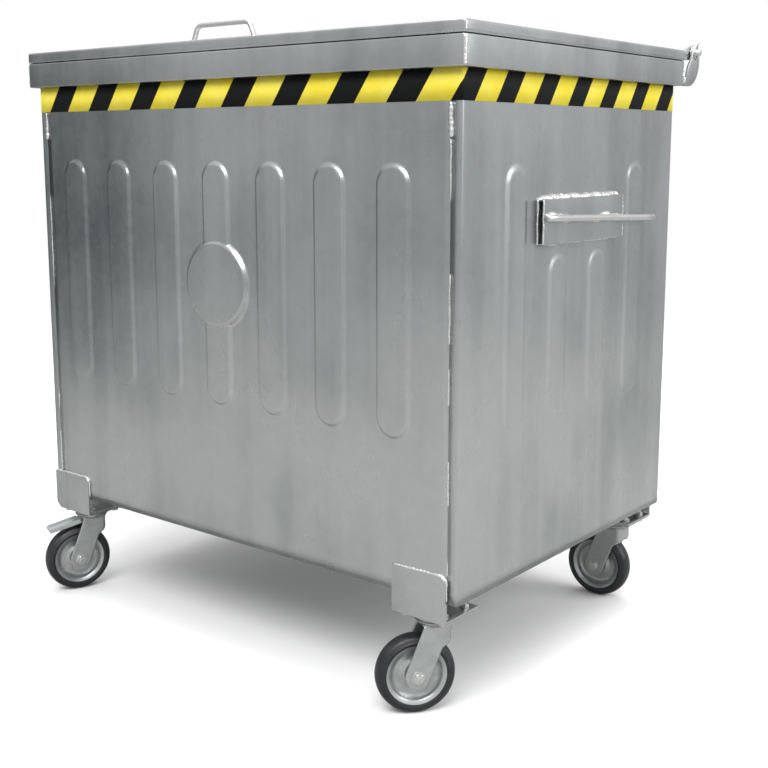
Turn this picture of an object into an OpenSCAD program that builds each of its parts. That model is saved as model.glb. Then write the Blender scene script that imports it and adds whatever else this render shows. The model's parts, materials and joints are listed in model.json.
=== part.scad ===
// Oily waste can: a galvanised steel container on four swivel casters, with a rear-hinged lid.
// +X runs along the front, +Y towards the hinge, +Z up. The floor is at z = 0.

/* [Overall] */
// Length of the lid and rim
length = 1100; // [960:10:1400]
// Depth of the lid and rim, front to rear
depth = 770; // [660:10:1000]
// Height of the lid's top above the floor
height = 1150; // [950:10:1400]

/* [Body] */
// Thickness of the body's sheet
sheet = 2; // [1.5:0.5:3]
// Outside radius of the folded vertical corners
corner_r = 5; // [4:1:10]
// How far each side panel folds round onto the front and rear
wrap = 20; // [15:1:30]
// Thickness of the floor plate
floor_t = 3; // [2:0.5:5]

/* [Pressed ribs] */
// Width of a rib at the sheet
rib_w = 72; // [50:1:85]
// Distance from one rib's centre to the next
rib_pitch = 138; // [110:1:145]
// Height of the ribs
rib_h = 5; // [3:0.5:6]
// Width of the sloped flank of a rib
rib_slope = 6; // [4:1:10]
// Ribs on the front and on the rear
rib_count = 7; // [5:2:7]
// Sideways offset of the front ribs and disc
rib_shift = -12; // [-15:1:0]
// Height of the ribs' lower ends above the body's bottom edge
rib_foot = 262; // [200:1:300]
// Distance from the tape down to the ribs' upper ends
rib_head = 96; // [60:1:120]
// Diameter of the round pressed disc on the front
disc_d = 168; // [120:1:190]
// Height of the disc
disc_h = 8; // [6:0.5:10]
// Width of the disc's sloped flank
disc_slope = 8; // [5:1:12]
// Distance from the ribs' upper ends down to the disc's centre
disc_drop = 226; // [180:1:260]

/* [Rim and tape] */
// Height of the rim collar
rim_h = 49; // [40:1:60]
// How far the rim stands out from the body
rim_out = 15; // [10:1:20]
// Thickness of the rim's sheet
rim_t = 3; // [2:0.5:4]
// Height of the warning tape below the rim
tape_h = 50; // [40:1:60]
// Thickness of the warning tape
tape_t = 0.4; // [0.2:0.1:0.6]

/* [Lid] */
// Height of the lid's folded edge
lid_edge = 20; // [16:1:30]
// Thickness of the lid's sheet
lid_t = 2; // [1.5:0.5:3]
// Gap between the lid's edge and the rim
lid_gap = 1; // [0.5:0.1:3]
// Outside radius of the lid's corners
lid_corner_r = 4; // [3:1:8]
// Width of a stiffening channel under the lid
stiffener_w = 40; // [30:1:60]
// Height of a stiffening channel
stiffener_h = 12; // [8:1:15]
// Distance between the two stiffening channels
stiffener_pitch = 520; // [300:10:640]
// Clear distance from a stiffening channel's end to the lid's edge
stiffener_end = 30; // [20:1:60]

/* [Lid handle] */
// Diameter of the handle's bar
handle_d = 9; // [8:1:16]
// Distance between the handle's feet
handle_foot = 160; // [120:1:220]
// Distance between the handle's upper bends
handle_top = 132; // [90:1:150]
// Height of the handle above the lid
handle_h = 33; // [30:1:70]
// Distance from the lid's front edge to the handle
handle_in = 31; // [25:1:80]
// Radius of the handle's bends
handle_bend = 16; // [10:1:20]

/* [Hinge] */
// Diameter of the hinge rod
rod_d = 14; // [10:1:16]
// Distance of the hinge rod behind the rim
hinge_out = 51; // [45:1:60]
// Depth of the hinge rod's centre below the lid's top
hinge_down = 2; // [0:0.5:6]
// Thickness of the hinge lugs
lug_t = 5; // [4:0.5:8]
// Running clearance of the lid's ears on the rod, on the radius
ear_clearance = 0.1; // [0.05:0.01:0.1]
// Thickness of the lid's ears
ear_t = 6; // [4:0.5:10]
// Thickness of the rod's washers
washer_t = 2; // [1.5:0.5:3]
// Gap on each side of a moving ear or wheel
side_gap = 0.5; // [0.4:0.1:1.5]

/* [Lifting sleeves] */
// Length of a lifting sleeve along the side
sleeve_l = 285; // [200:5:320]
// Height of a lifting sleeve
sleeve_h = 79; // [70:1:100]
// Clear gap inside a lifting sleeve
sleeve_gap = 10; // [8:1:16]
// Thickness of a lifting sleeve's plate
sleeve_t = 3; // [2:0.5:4]
// Distance from the tape down to a lifting sleeve
sleeve_drop = 158; // [130:1:190]
// Diameter of a lifting bar
bar_d = 12; // [12:1:20]
// Length of a lifting bar
bar_l = 400; // [360:1:440]
// Distance from a sleeve's front end to the bar's front end
bar_in = 0; // [0:1:30]
// Height of the bar's front end above the middle of the sleeve
bar_up = 8; // [0:1:15]
// Downward tilt of a lifting bar towards the rear, in degrees
bar_tilt = 2.4; // [0:0.1:4]

/* [Caster brackets] */
// Width of a bracket
bracket_w = 112; // [108:1:130]
// Thickness of a bracket's plate
bracket_t = 5; // [4:0.5:8]
// Depth of a bracket's level flange
bracket_d = 98; // [94:1:120]
// Gap from a bracket's underside up to the body's bottom edge
bracket_drop = 36; // [30:1:50]
// How far a bracket laps onto the body
bracket_lap = 46; // [35:1:60]
// Distance from the body's right end to the right brackets
bracket_in_right = 20; // [5:1:30]
// Distance from the body's left end to the left brackets
bracket_in_left = 2; // [0:1:30]
// Radius of a bracket's upper corner
bracket_r = 14; // [8:1:20]
// Size of the cut on a bracket's lower corner
bracket_cut = 12; // [6:1:20]

/* [Casters] */
// Diameter of a wheel over its tyre
wheel_d = 140; // [125:1:150]
// Width of a tyre
wheel_w = 38; // [32:1:42]
// Height of a caster from the floor to its plate's top
caster_h = 180; // [176:1:210]
// Distance of a wheel's axle behind its swivel axis
trail = 35; // [28:1:45]
// Length of a caster's top plate
plate_l = 104; // [100:1:106]
// Width of a caster's top plate
plate_w = 84; // [80:1:88]
// Thickness of a caster's top plate
plate_t = 4; // [3:0.5:6]
// Distance between bolt holes along the plate
hole_l = 80; // [76:1:82]
// Distance between bolt holes across the plate
hole_w = 60; // [56:1:62]
// Diameter of the plate's bolts
bolt_d = 8; // [6:1:8]
// Clearance of a bolt in its hole, on the radius
bolt_clearance = 0.5; // [0.2:0.1:0.8]
// Thickness of a fork's sheet
fork_t = 3; // [2.5:0.5:4]
// Width of a fork's leg
fork_leg = 44; // [36:1:50]
// Diameter of a caster's axle
axle_d = 12; // [10:1:14]
// Diameter of the swivel pin
pin_d = 12; // [10:1:14]
// Running clearance of a wheel or fork on its pin, on the radius
pin_clearance = 0.1; // [0.05:0.01:0.1]
// Travel of a brake pedal, in degrees
pedal_travel = 8; // [5:1:9]

/* [Hidden] */
$fn = 64;

body_l = length - 2 * rim_out;
body_d = depth - 2 * rim_out;
body_z0 = caster_h + bracket_drop;
lid_z0 = height - lid_edge;
rim_top = lid_z0 - lid_gap;
rim_z0 = rim_top - rim_h;
body_top = rim_top - rim_t;
tape_z0 = rim_z0 - tape_h;

rib_z0 = body_z0 + rib_foot;
rib_z1 = tape_z0 - rib_head;
side_rib_pitch = min(141, (body_d - 2 * wrap - rib_w) / 3);
side_rib_gap = 16;
disc_z = rib_z1 - disc_drop;

sleeve_z1 = tape_z0 - sleeve_drop;
sleeve_z0 = sleeve_z1 - sleeve_h;
sleeve_out = sleeve_gap + sleeve_t;
bar_z = sleeve_z0 + sleeve_h / 2 + bar_up;

rod_y = depth / 2 + hinge_out;
rod_z = height - hinge_down;
lug_arc = 50;
lug_reach = hinge_out + 16;
lug_foot = 18;
ear_x = length / 2 - lug_t - washer_t - 2 * side_gap - ear_t / 2;
ear_boss = 14;
rod_end = 9;
split_d = 3;
split_l = 26;

bracket_z1 = body_z0 + bracket_lap;
swivel_y = body_d / 2 + bracket_t - bracket_d / 2;
right_x = body_l / 2 - bracket_in_right - bracket_w / 2;
left_x = -body_l / 2 + bracket_in_left + bracket_w / 2;

axle_z = wheel_d / 2;
plate_z0 = caster_h - plate_t;
cup_r = 34;
cup_h = 7;
crown_r = 36;
crown_taper = 6;
crown_gap = 0.4;
crown_z1 = plate_z0 - cup_h - crown_gap;
crown_h = 10;
crown_z0 = crown_z1 - crown_h;
fork_in = wheel_w / 2 + 4;
fork_hub_r = fork_leg / 2;
fork_web_h = 34;
hub_r = 14;
hub_l = 2 * fork_in - 2 * side_gap;
rim_r = 0.73 * wheel_d / 2;
rim_flange = 4;
rim_sheet = 2.5;
tyre_round = 10;
hex_d = 1.9 * axle_d;
hex_h = 7;
bolt_hex = 2 * bolt_d;
bolt_head = 5.5;
bolt_nut = 6.5;
bolt_tail = 4;
pin_head = 5;
pedal_s = 20;
pedal_z = crown_z0 - 6;
pedal_l = 80;
pedal_w = 34;
pedal_t = 3;
brake_gap = 1;
brake_lean = atan((trail - pedal_s) / (pedal_z - axle_z));
brake_reach = norm([trail - pedal_s, pedal_z - axle_z]);
pedal_slope = acos((wheel_d / 2 + pedal_t / 2 + brake_gap) / brake_reach) - brake_lean - pedal_travel;
pedal_flange_x = crown_r - crown_taper - pedal_s;
pedal_pin_d = 6;

// Each caster: its swivel axis and the direction from there to its wheel, in degrees.
front_left = [left_x, -swivel_y, 248];
front_right = [right_x, -swivel_y, 230];
rear_left = [left_x, swivel_y, 205];
rear_right = [right_x, swivel_y, 181];

// The body's centre lies ahead of or behind the origin, which is the middle of the whole footprint.
function tyre_front(c) =
    -(c[1] + trail * sin(c[2])) + wheel_d / 2 * abs(sin(c[2])) + wheel_w / 2 * abs(cos(c[2]));
front_reach = max(depth / 2, tyre_front(front_left), tyre_front(front_right));
body_y = (front_reach - depth / 2 - lug_reach) / 2;

STEEL = [0.62, 0.64, 0.66];
ZINC = [0.74, 0.76, 0.77];
BRIGHT = [0.82, 0.83, 0.84];
RUBBER = [0.07, 0.07, 0.08];
YELLOW = [0.93, 0.8, 0.1];

// ---- helpers ----

module in_place() {
    translate([0, body_y, 0]) children();
}

module rounded_rect(l, d, r) {
    square([l - 2 * r, d], center = true);
    square([l, d - 2 * r], center = true);
    for (sx = [-1, 1], sy = [-1, 1]) translate([sx * (l / 2 - r), sy * (d / 2 - r)]) circle(r);
}

// A raised obround with sloped flanks, along Y and rising in Z; below carries the flanks down past z = 0.
module swage(run, w, h, slope, below = 0) {
    grow = below * slope / h;
    r0 = w / 2 + grow;
    r1 = w / 2 - slope;
    for (s = [-1, 1]) translate([0, s * run / 2, -below]) cylinder(h = h + below, r1 = r0, r2 = r1);
    rotate([90, 0, 0]) linear_extrude(run, center = true)
        polygon([[-r0, -below], [r0, -below], [r1, h], [-r1, h]]);
}

// Stands a swage on the front plane y = 0, facing -Y, with its middle at x, z.
module on_front(x, z) {
    translate([x, 0, z]) rotate([90, 0, 0]) children();
}

module body_ring() {
    translate([0, 0, body_z0]) linear_extrude(body_top - body_z0) difference() {
        rounded_rect(body_l, body_d, corner_r);
        rounded_rect(body_l - 2 * sheet, body_d - 2 * sheet, corner_r - sheet);
    }
}

// ---- body ----

module rib_row(z0, z1, x, below) {
    run = z1 - z0 - rib_w;
    on_front(x, (z0 + z1) / 2) swage(run, rib_w, rib_h, rib_slope, below);
}

module front_swages(shift, disc, below) {
    for (i = [0 : rib_count - 1])
        rib_row(rib_z0, rib_z1, shift + (i - (rib_count - 1) / 2) * rib_pitch, below);
    if (disc) on_front(shift, disc_z)
        translate([0, 0, -below]) cylinder(h = disc_h + below,
            r1 = disc_d / 2 + below * disc_slope / disc_h, r2 = disc_d / 2 - disc_slope);
}

// The panel between the side panels' folds, on the front plane, with its ribs pressed out.
module long_panel(shift, disc) {
    w = body_l - 2 * wrap;
    difference() {
        union() {
            translate([-w / 2, 0, body_z0]) cube([w, sheet, body_top - body_z0]);
            front_swages(shift, disc, 0);
        }
        translate([0, sheet, 0]) front_swages(shift, disc, 1);
    }
}

module front_panel() {
    color(STEEL) in_place() translate([0, -body_d / 2, 0]) long_panel(rib_shift, true);
}

module rear_panel() {
    color(STEEL) in_place() rotate([0, 0, 180]) translate([0, -body_d / 2, 0]) long_panel(0, false);
}

module side_swages(below) {
    for (i = [-1.5, 1.5]) rib_row(rib_z0, rib_z1, i * side_rib_pitch, below);
    for (i = [-0.5, 0.5]) rib_row(rib_z0, sleeve_z0 - side_rib_gap, i * side_rib_pitch, below);
}

// The right side panel with its two folds.
module side_panel() {
    difference() {
        union() {
            intersection() {
                body_ring();
                translate([body_l / 2 - wrap, -body_d, 0]) cube([2 * wrap, 2 * body_d, height]);
            }
            translate([body_l / 2, 0, 0]) rotate([0, 0, 90]) side_swages(0);
        }
        translate([body_l / 2 - sheet, 0, 0]) rotate([0, 0, 90]) side_swages(1);
    }
}

module right_side_panel() {
    color(STEEL) in_place() side_panel();
}

module left_side_panel() {
    color(STEEL) in_place() mirror([1, 0, 0]) side_panel();
}

module floor_panel() {
    color(STEEL) in_place() translate([0, 0, body_z0]) linear_extrude(floor_t)
        rounded_rect(body_l - 2 * sheet, body_d - 2 * sheet, corner_r - sheet);
}

// ---- rim and tape ----

// One side of the collar: a folded channel along X on the -Y side, with mitred ends.
module rim_rail(run, half) {
    inner = rim_out + sheet;
    intersection() {
        translate([-run / 2, -half, rim_z0]) rotate([90, 0, 90]) linear_extrude(run) polygon([
            [0, 0], [rim_out, 0], [rim_out, rim_t], [rim_t, rim_t], [rim_t, rim_h - rim_t],
            [inner, rim_h - rim_t], [inner, rim_h], [0, rim_h]
        ]);
        translate([0, 0, rim_z0]) linear_extrude(rim_h) polygon([
            [-run / 2, -half], [run / 2, -half],
            [run / 2 - inner, -half + inner], [-run / 2 + inner, -half + inner]
        ]);
    }
}

module rim_front() {
    color(STEEL) in_place() rim_rail(length, depth / 2);
}

module rim_rear() {
    color(STEEL) in_place() rotate([0, 0, 180]) rim_rail(length, depth / 2);
}

module rim_right() {
    color(STEEL) in_place() rotate([0, 0, 90]) rim_rail(depth, length / 2);
}

module rim_left() {
    color(STEEL) in_place() rotate([0, 0, -90]) rim_rail(depth, length / 2);
}

module warning_tape() {
    color(YELLOW) in_place() translate([0, 0, tape_z0]) linear_extrude(tape_h) difference() {
        rounded_rect(body_l + 2 * tape_t, body_d + 2 * tape_t, corner_r + tape_t);
        rounded_rect(body_l, body_d, corner_r);
    }
}

// ---- hinge ----

// The lug's outline, from the rim's rear face (y = 0) and the lid's top (z = 0).
module lug_outline() {
    polygon(concat(
        [[0, rim_z0 - height]],
        [for (a = [-90 : 10 : 0]) [lug_reach - lug_arc + lug_arc * cos(a), rim_z0 - height + lug_arc * (1 + sin(a))]],
        [[lug_reach, -4 - hinge_down], [hinge_out - 7, 13], [hinge_out - 20, -16], [hinge_out - 33, -32]],
        [[10, rim_z0 - height + lug_foot], [0, rim_z0 - height + lug_foot]]
    ));
}

module hinge_lug(side) {
    color(STEEL) in_place() difference() {
        translate([side > 0 ? length / 2 - lug_t : -length / 2, depth / 2, height])
            rotate([90, 0, 90]) linear_extrude(lug_t) lug_outline();
        translate([0, rod_y, rod_z]) rotate([0, 90, 0])
            cylinder(h = length + 2, r = rod_d / 2 + ear_clearance, center = true);
    }
}

module hinge_rod() {
    hole_x = length / 2 + washer_t + side_gap + split_d / 2;
    color(BRIGHT) in_place() difference() {
        translate([0, rod_y, rod_z]) rotate([0, 90, 0])
            cylinder(h = length + 2 * rod_end, r = rod_d / 2, center = true);
        for (s = [-1, 1]) translate([s * hole_x, rod_y, rod_z])
            cylinder(h = rod_d + 2, r = split_d / 2, center = true);
    }
}

// Four washers: one outside each lug and one between each lug and ear.
module rod_washers() {
    color(BRIGHT) in_place() for (s = [-1, 1], x = [length / 2, length / 2 - lug_t - washer_t])
        translate([s * (x + washer_t / 2), rod_y, rod_z]) rotate([0, 90, 0]) difference() {
            cylinder(h = washer_t, r = rod_d, center = true);
            cylinder(h = washer_t + 2, r = rod_d / 2 + ear_clearance, center = true);
        }
}

// Each split pin: a shank down through the rod under a ring.
module split_pins() {
    hole_x = length / 2 + washer_t + side_gap + split_d / 2;
    color(BRIGHT) in_place() for (s = [-1, 1]) translate([s * hole_x, rod_y, rod_z]) {
        translate([0, 0, -split_l / 2]) cylinder(h = split_l, r = split_d / 2);
        translate([0, 0, split_l / 2 + split_d]) rotate([0, 90, 0])
            rotate_extrude() translate([split_d, 0]) circle(split_d / 3);
    }
}

// ---- lid ----

module lid_pan() {
    color(STEEL) in_place() translate([0, 0, lid_z0]) difference() {
        linear_extrude(lid_edge) rounded_rect(length, depth, lid_corner_r);
        translate([0, 0, -1]) linear_extrude(lid_edge - lid_t + 1)
            rounded_rect(length - 2 * lid_t, depth - 2 * lid_t, lid_corner_r - lid_t);
    }
}

// A channel along Y under the lid's sheet.
module lid_stiffener(side) {
    run = depth - 2 * stiffener_end;
    color(STEEL) in_place() translate([side * stiffener_pitch / 2, run / 2, height - lid_t - stiffener_h])
        rotate([90, 0, 0]) linear_extrude(run) difference() {
            translate([-stiffener_w / 2, 0]) square([stiffener_w, stiffener_h]);
            translate([-stiffener_w / 2 + lid_t, lid_t])
                square([stiffener_w - 2 * lid_t, stiffener_h]);
        }
}

module lid_ear(side) {
    color(STEEL) in_place() translate([side * ear_x - ear_t / 2, depth / 2, height])
        rotate([90, 0, 90]) linear_extrude(ear_t) difference() {
            union() {
                translate([hinge_out, -hinge_down]) circle(ear_boss);
                polygon([
                    [0, 1 - lid_edge], [hinge_out, -hinge_down - ear_boss],
                    [hinge_out, -hinge_down + ear_boss], [0, -lid_t]
                ]);
            }
            translate([hinge_out, -hinge_down]) circle(rod_d / 2 + ear_clearance);
        }
}

// A bow of round bar: balls along its centreline, each pair hulled, with its feet cut off level.
module lid_handle() {
    turn = atan2(handle_h, (handle_foot - handle_top) / 2);
    grip_z = handle_h - handle_d / 2;
    bend_x = handle_top / 2 - handle_bend * tan(turn / 2);
    bend = [for (i = [0 : 4]) let (a = 90 - turn * (1 - i / 4))
        [bend_x + handle_bend * cos(a), grip_z - handle_bend + handle_bend * sin(a)]];
    half = concat([[handle_foot / 2, -handle_d / 2]], bend);
    path = concat(half, [for (i = [len(half) - 1 : -1 : 0]) [-half[i][0], half[i][1]]]);
    color(BRIGHT) in_place() translate([0, -depth / 2 + handle_in, height]) difference() {
        for (i = [0 : len(path) - 2]) hull() for (p = [path[i], path[i + 1]])
            translate([p[0], 0, p[1]]) sphere(handle_d / 2, $fn = 20);
        translate([-handle_foot, -handle_d, -3 * handle_d]) cube([2 * handle_foot, 2 * handle_d, 3 * handle_d]);
    }
}

// ---- lifting sleeves ----

// A flat channel on the right side panel, open to the front and rear.
module lift_sleeve() {
    translate([body_l / 2, sleeve_l / 2, sleeve_z0]) rotate([90, 0, 0]) linear_extrude(sleeve_l) difference() {
        square([sleeve_out, sleeve_h]);
        translate([-1, sleeve_t]) square([sleeve_gap + 1, sleeve_h - 2 * sleeve_t]);
    }
}

module lift_bar() {
    translate([body_l / 2 + sleeve_out + bar_d / 2, -sleeve_l / 2 + bar_in, bar_z])
        rotate([-90 - bar_tilt, 0, 0]) cylinder(h = bar_l, r = bar_d / 2);
}

module lift_sleeve_right() {
    color(STEEL) in_place() lift_sleeve();
}

module lift_sleeve_left() {
    color(STEEL) in_place() mirror([1, 0, 0]) lift_sleeve();
}

module lift_bar_right() {
    color(BRIGHT) in_place() lift_bar();
}

module lift_bar_left() {
    color(BRIGHT) in_place() mirror([1, 0, 0]) lift_bar();
}

// ---- caster brackets ----

module bolt_places(c) {
    for (sx = [-1, 1], sy = [-1, 1]) translate([c[0] + sx * hole_l / 2, c[1] + sy * hole_w / 2, 0]) children();
}

// An angle bracket at the front, centred on x: an upright plate on the panel and a level flange under the body.
module front_bracket(x, cut) {
    h = bracket_z1 - caster_h;
    difference() {
        union() {
            translate([x - bracket_w / 2, -body_d / 2, caster_h]) rotate([90, 0, 0]) linear_extrude(bracket_t)
                difference() {
                    union() {
                        square([bracket_w, h - bracket_r]);
                        square([bracket_w - bracket_r, h]);
                        translate([bracket_w - bracket_r, h - bracket_r]) circle(bracket_r);
                    }
                    if (cut) polygon([[-1, -1], [bracket_cut, -1], [bracket_cut, 0], [0, bracket_cut], [-1, bracket_cut]]);
                }
            translate([x - bracket_w / 2 + (cut ? bracket_cut : 0), -body_d / 2 - bracket_t, caster_h])
                cube([bracket_w - (cut ? bracket_cut : 0), bracket_d, bracket_t]);
        }
        bolt_places([x, -swivel_y]) translate([0, 0, caster_h - 1])
            cylinder(h = bracket_t + 2, r = bolt_d / 2 + bolt_clearance);
    }
}

module bracket_front_left() {
    color(STEEL) in_place() front_bracket(left_x, true);
}

module bracket_front_right() {
    color(STEEL) in_place() front_bracket(right_x, false);
}

module bracket_rear_left() {
    color(STEEL) in_place() mirror([0, 1, 0]) front_bracket(left_x, true);
}

module bracket_rear_right() {
    color(STEEL) in_place() mirror([0, 1, 0]) front_bracket(right_x, false);
}

// ---- casters ----

CASTERS = [front_left, front_right, rear_left, rear_right];

module plate_bolts() {
    color(BRIGHT) in_place() for (c = CASTERS) bolt_places(c) {
        translate([0, 0, plate_z0 - bolt_head]) cylinder(h = bolt_head, d = bolt_hex, $fn = 6);
        translate([0, 0, plate_z0]) cylinder(h = plate_t + bracket_t + bolt_nut + bolt_tail, r = bolt_d / 2);
    }
}

module plate_nuts() {
    color(BRIGHT) in_place() for (c = CASTERS) bolt_places(c) translate([0, 0, caster_h + bracket_t]) difference() {
        cylinder(h = bolt_nut, d = bolt_hex, $fn = 6);
        translate([0, 0, -1]) cylinder(h = bolt_nut + 2, r = bolt_d / 2);
    }
}

// The plate with its bearing cup and the riveted swivel pin.
module caster_plate(c) {
    color(ZINC) in_place() {
        difference() {
            translate([c[0] - plate_l / 2, c[1] - plate_w / 2, plate_z0]) cube([plate_l, plate_w, plate_t]);
            bolt_places(c) translate([0, 0, plate_z0 - 1]) cylinder(h = plate_t + 2, r = bolt_d / 2 + bolt_clearance);
        }
        translate([c[0], c[1], 0]) {
            translate([0, 0, plate_z0 - cup_h]) cylinder(h = cup_h, r1 = cup_r, r2 = cup_r - 3);
            translate([0, 0, crown_z0 - crown_gap]) cylinder(h = plate_z0 - cup_h - crown_z0 + crown_gap, r = pin_d / 2);
            translate([0, 0, crown_z0 - crown_gap - pin_head]) cylinder(h = pin_head, r = 0.8 * pin_d);
        }
    }
}

// Turns a child drawn with its trail along +X to the caster's own direction.
module parked(c) {
    in_place() translate([c[0], c[1], 0]) rotate([0, 0, c[2]]) children();
}

module fork_leg_outline() {
    translate([trail, axle_z]) circle(fork_hub_r);
    polygon([
        [-fork_leg / 2, crown_z0 + fork_t], [fork_leg / 2 + 2, crown_z0 + fork_t],
        [trail + fork_hub_r, axle_z], [trail - fork_hub_r, axle_z]
    ]);
}

module fork(c) {
    color(ZINC) parked(c) difference() {
        union() {
            for (s = [-1, 1]) translate([0, s * (fork_in + fork_t / 2), 0]) rotate([90, 0, 0])
                linear_extrude(fork_t, center = true) fork_leg_outline();
            translate([-fork_leg / 2, -fork_in - fork_t, crown_z0]) cube([fork_leg + 2, 2 * (fork_in + fork_t), fork_t]);
            translate([0, 0, crown_z0]) cylinder(h = crown_h, r1 = crown_r - crown_taper, r2 = crown_r);
            translate([-fork_leg / 2, -fork_in - fork_t, crown_z0 - fork_web_h])
                cube([fork_t, 2 * (fork_in + fork_t), fork_web_h]);
        }
        translate([0, 0, crown_z0 - 1]) cylinder(h = crown_h + 2, r = pin_d / 2 + pin_clearance);
        translate([trail, 0, axle_z]) rotate([90, 0, 0])
            cylinder(h = 3 * fork_in, r = axle_d / 2 + pin_clearance, center = true);
    }
}

// The axle bolt with its nut: a through shaft, a hexagon at each end and a short thread end.
module axle(c) {
    run = 2 * (fork_in + fork_t);
    color(BRIGHT) parked(c) translate([trail, 0, axle_z]) rotate([90, 0, 0]) {
        translate([0, 0, -run / 2 - hex_h - 3]) cylinder(h = run + hex_h + 3, r = axle_d / 2);
        for (z = [run / 2, -run / 2 - hex_h]) translate([0, 0, z]) cylinder(h = hex_h, d = hex_d, $fn = 6);
    }
}

// A ring turned about the wheel's own axle.
module about_axle(c) {
    parked(c) translate([trail, 0, axle_z]) rotate([90, 0, 0]) rotate_extrude() children();
}

module wheel_hub(c) {
    bore = axle_d / 2 + pin_clearance;
    color(ZINC) about_axle(c) translate([bore, -hub_l / 2]) square([hub_r - bore, hub_l]);
}

// The pressed steel wheel centre: a dished disc from the hub out to a flanged well.
module wheel_rim(c) {
    w = wheel_w - 6;
    color(ZINC) about_axle(c) polygon([
        [hub_r, -6], [hub_r + 6, -6], [rim_r - 16, -2], [rim_r - 8, -3], [rim_r - rim_sheet, -w / 2 + rim_sheet],
        [rim_r + rim_flange, -w / 2 - 1], [rim_r + rim_flange, -w / 2 + 1], [rim_r, -w / 2 + rim_flange],
        [rim_r, w / 2 - rim_flange], [rim_r + rim_flange, w / 2 - 1], [rim_r + rim_flange, w / 2 + 1],
        [rim_r - rim_sheet, w / 2 - rim_sheet], [rim_r - 8, 3], [rim_r - 16, 2], [hub_r + 6, 6], [hub_r, 6]
    ]);
}

module tyre(c) {
    w = wheel_w / 2;
    seat = w - 3;
    shoulder = wheel_d / 2 - tyre_round;
    color(RUBBER) about_axle(c) polygon(concat(
        [for (a = [-90 : 15 : 0]) [shoulder + tyre_round * cos(a), tyre_round - w + tyre_round * sin(a)]],
        [for (a = [0 : 15 : 90]) [shoulder + tyre_round * cos(a), w - tyre_round + tyre_round * sin(a)]],
        [
            [rim_r + rim_flange, w], [rim_r + rim_flange, seat - 1], [rim_r, seat - rim_flange],
            [rim_r, rim_flange - seat], [rim_r + rim_flange, 1 - seat], [rim_r + rim_flange, -w]
        ]
    ));
}

// A foot pedal over the tyre: a bent plate on a cross pin between the fork's legs.
module brake_pedal(c) {
    color(BRIGHT) parked(c) translate([pedal_s, 0, pedal_z]) rotate([0, pedal_slope, 0]) {
        translate([-pedal_pin_d / 2, -pedal_w / 2, -pedal_t / 2]) cube([pedal_l, pedal_w, pedal_t]);
        translate([pedal_l - pedal_pin_d / 2 - pedal_t, -pedal_w / 2, -pedal_t / 2]) cube([pedal_t, pedal_w, 3 * pedal_t]);
        for (s = [-1, 1]) translate([pedal_flange_x, s * (pedal_w / 2 - pedal_t / 2) - pedal_t / 2, -pedal_t / 2])
            cube([pedal_l - pedal_pin_d / 2 - pedal_flange_x, pedal_t, 3 * pedal_t]);
        rotate([90, 0, 0]) cylinder(h = 2 * fork_in - 2 * side_gap, r = pedal_pin_d / 2, center = true);
    }
}

front_panel();
rear_panel();
left_side_panel();
right_side_panel();
floor_panel();
rim_front();
rim_rear();
rim_left();
rim_right();
warning_tape();
hinge_lug(-1);  // hinge_lug_left
hinge_lug(1);  // hinge_lug_right
hinge_rod();
rod_washers();
split_pins();
lid_pan();
lid_stiffener(-1);  // lid_stiffener_left
lid_stiffener(1);  // lid_stiffener_right
lid_ear(-1);  // lid_ear_left
lid_ear(1);  // lid_ear_right
lid_handle();
lift_sleeve_left();
lift_sleeve_right();
lift_bar_left();
lift_bar_right();
bracket_front_left();
bracket_front_right();
bracket_rear_left();
bracket_rear_right();
plate_bolts();
plate_nuts();
caster_plate(front_left);  // caster_plate_fl
caster_plate(front_right);  // caster_plate_fr
caster_plate(rear_left);  // caster_plate_rl
caster_plate(rear_right);  // caster_plate_rr
fork(front_left);  // fork_fl
fork(front_right);  // fork_fr
fork(rear_left);  // fork_rl
fork(rear_right);  // fork_rr
axle(front_left);  // axle_fl
axle(front_right);  // axle_fr
axle(rear_left);  // axle_rl
axle(rear_right);  // axle_rr
wheel_hub(front_left);  // wheel_hub_fl
wheel_hub(front_right);  // wheel_hub_fr
wheel_hub(rear_left);  // wheel_hub_rl
wheel_hub(rear_right);  // wheel_hub_rr
wheel_rim(front_left);  // wheel_rim_fl
wheel_rim(front_right);  // wheel_rim_fr
wheel_rim(rear_left);  // wheel_rim_rl
wheel_rim(rear_right);  // wheel_rim_rr
tyre(front_left);  // tyre_fl
tyre(front_right);  // tyre_fr
tyre(rear_left);  // tyre_rl
tyre(rear_right);  // tyre_rr
brake_pedal(front_left);  // brake_pedal_fl
brake_pedal(rear_left);  // brake_pedal_rl
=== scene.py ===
"""Oily waste can: the finished surfaces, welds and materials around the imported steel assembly.

Every piece is a surface computed with numpy in the frame of the assembly, in metres.
"""

import json
import math

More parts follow.
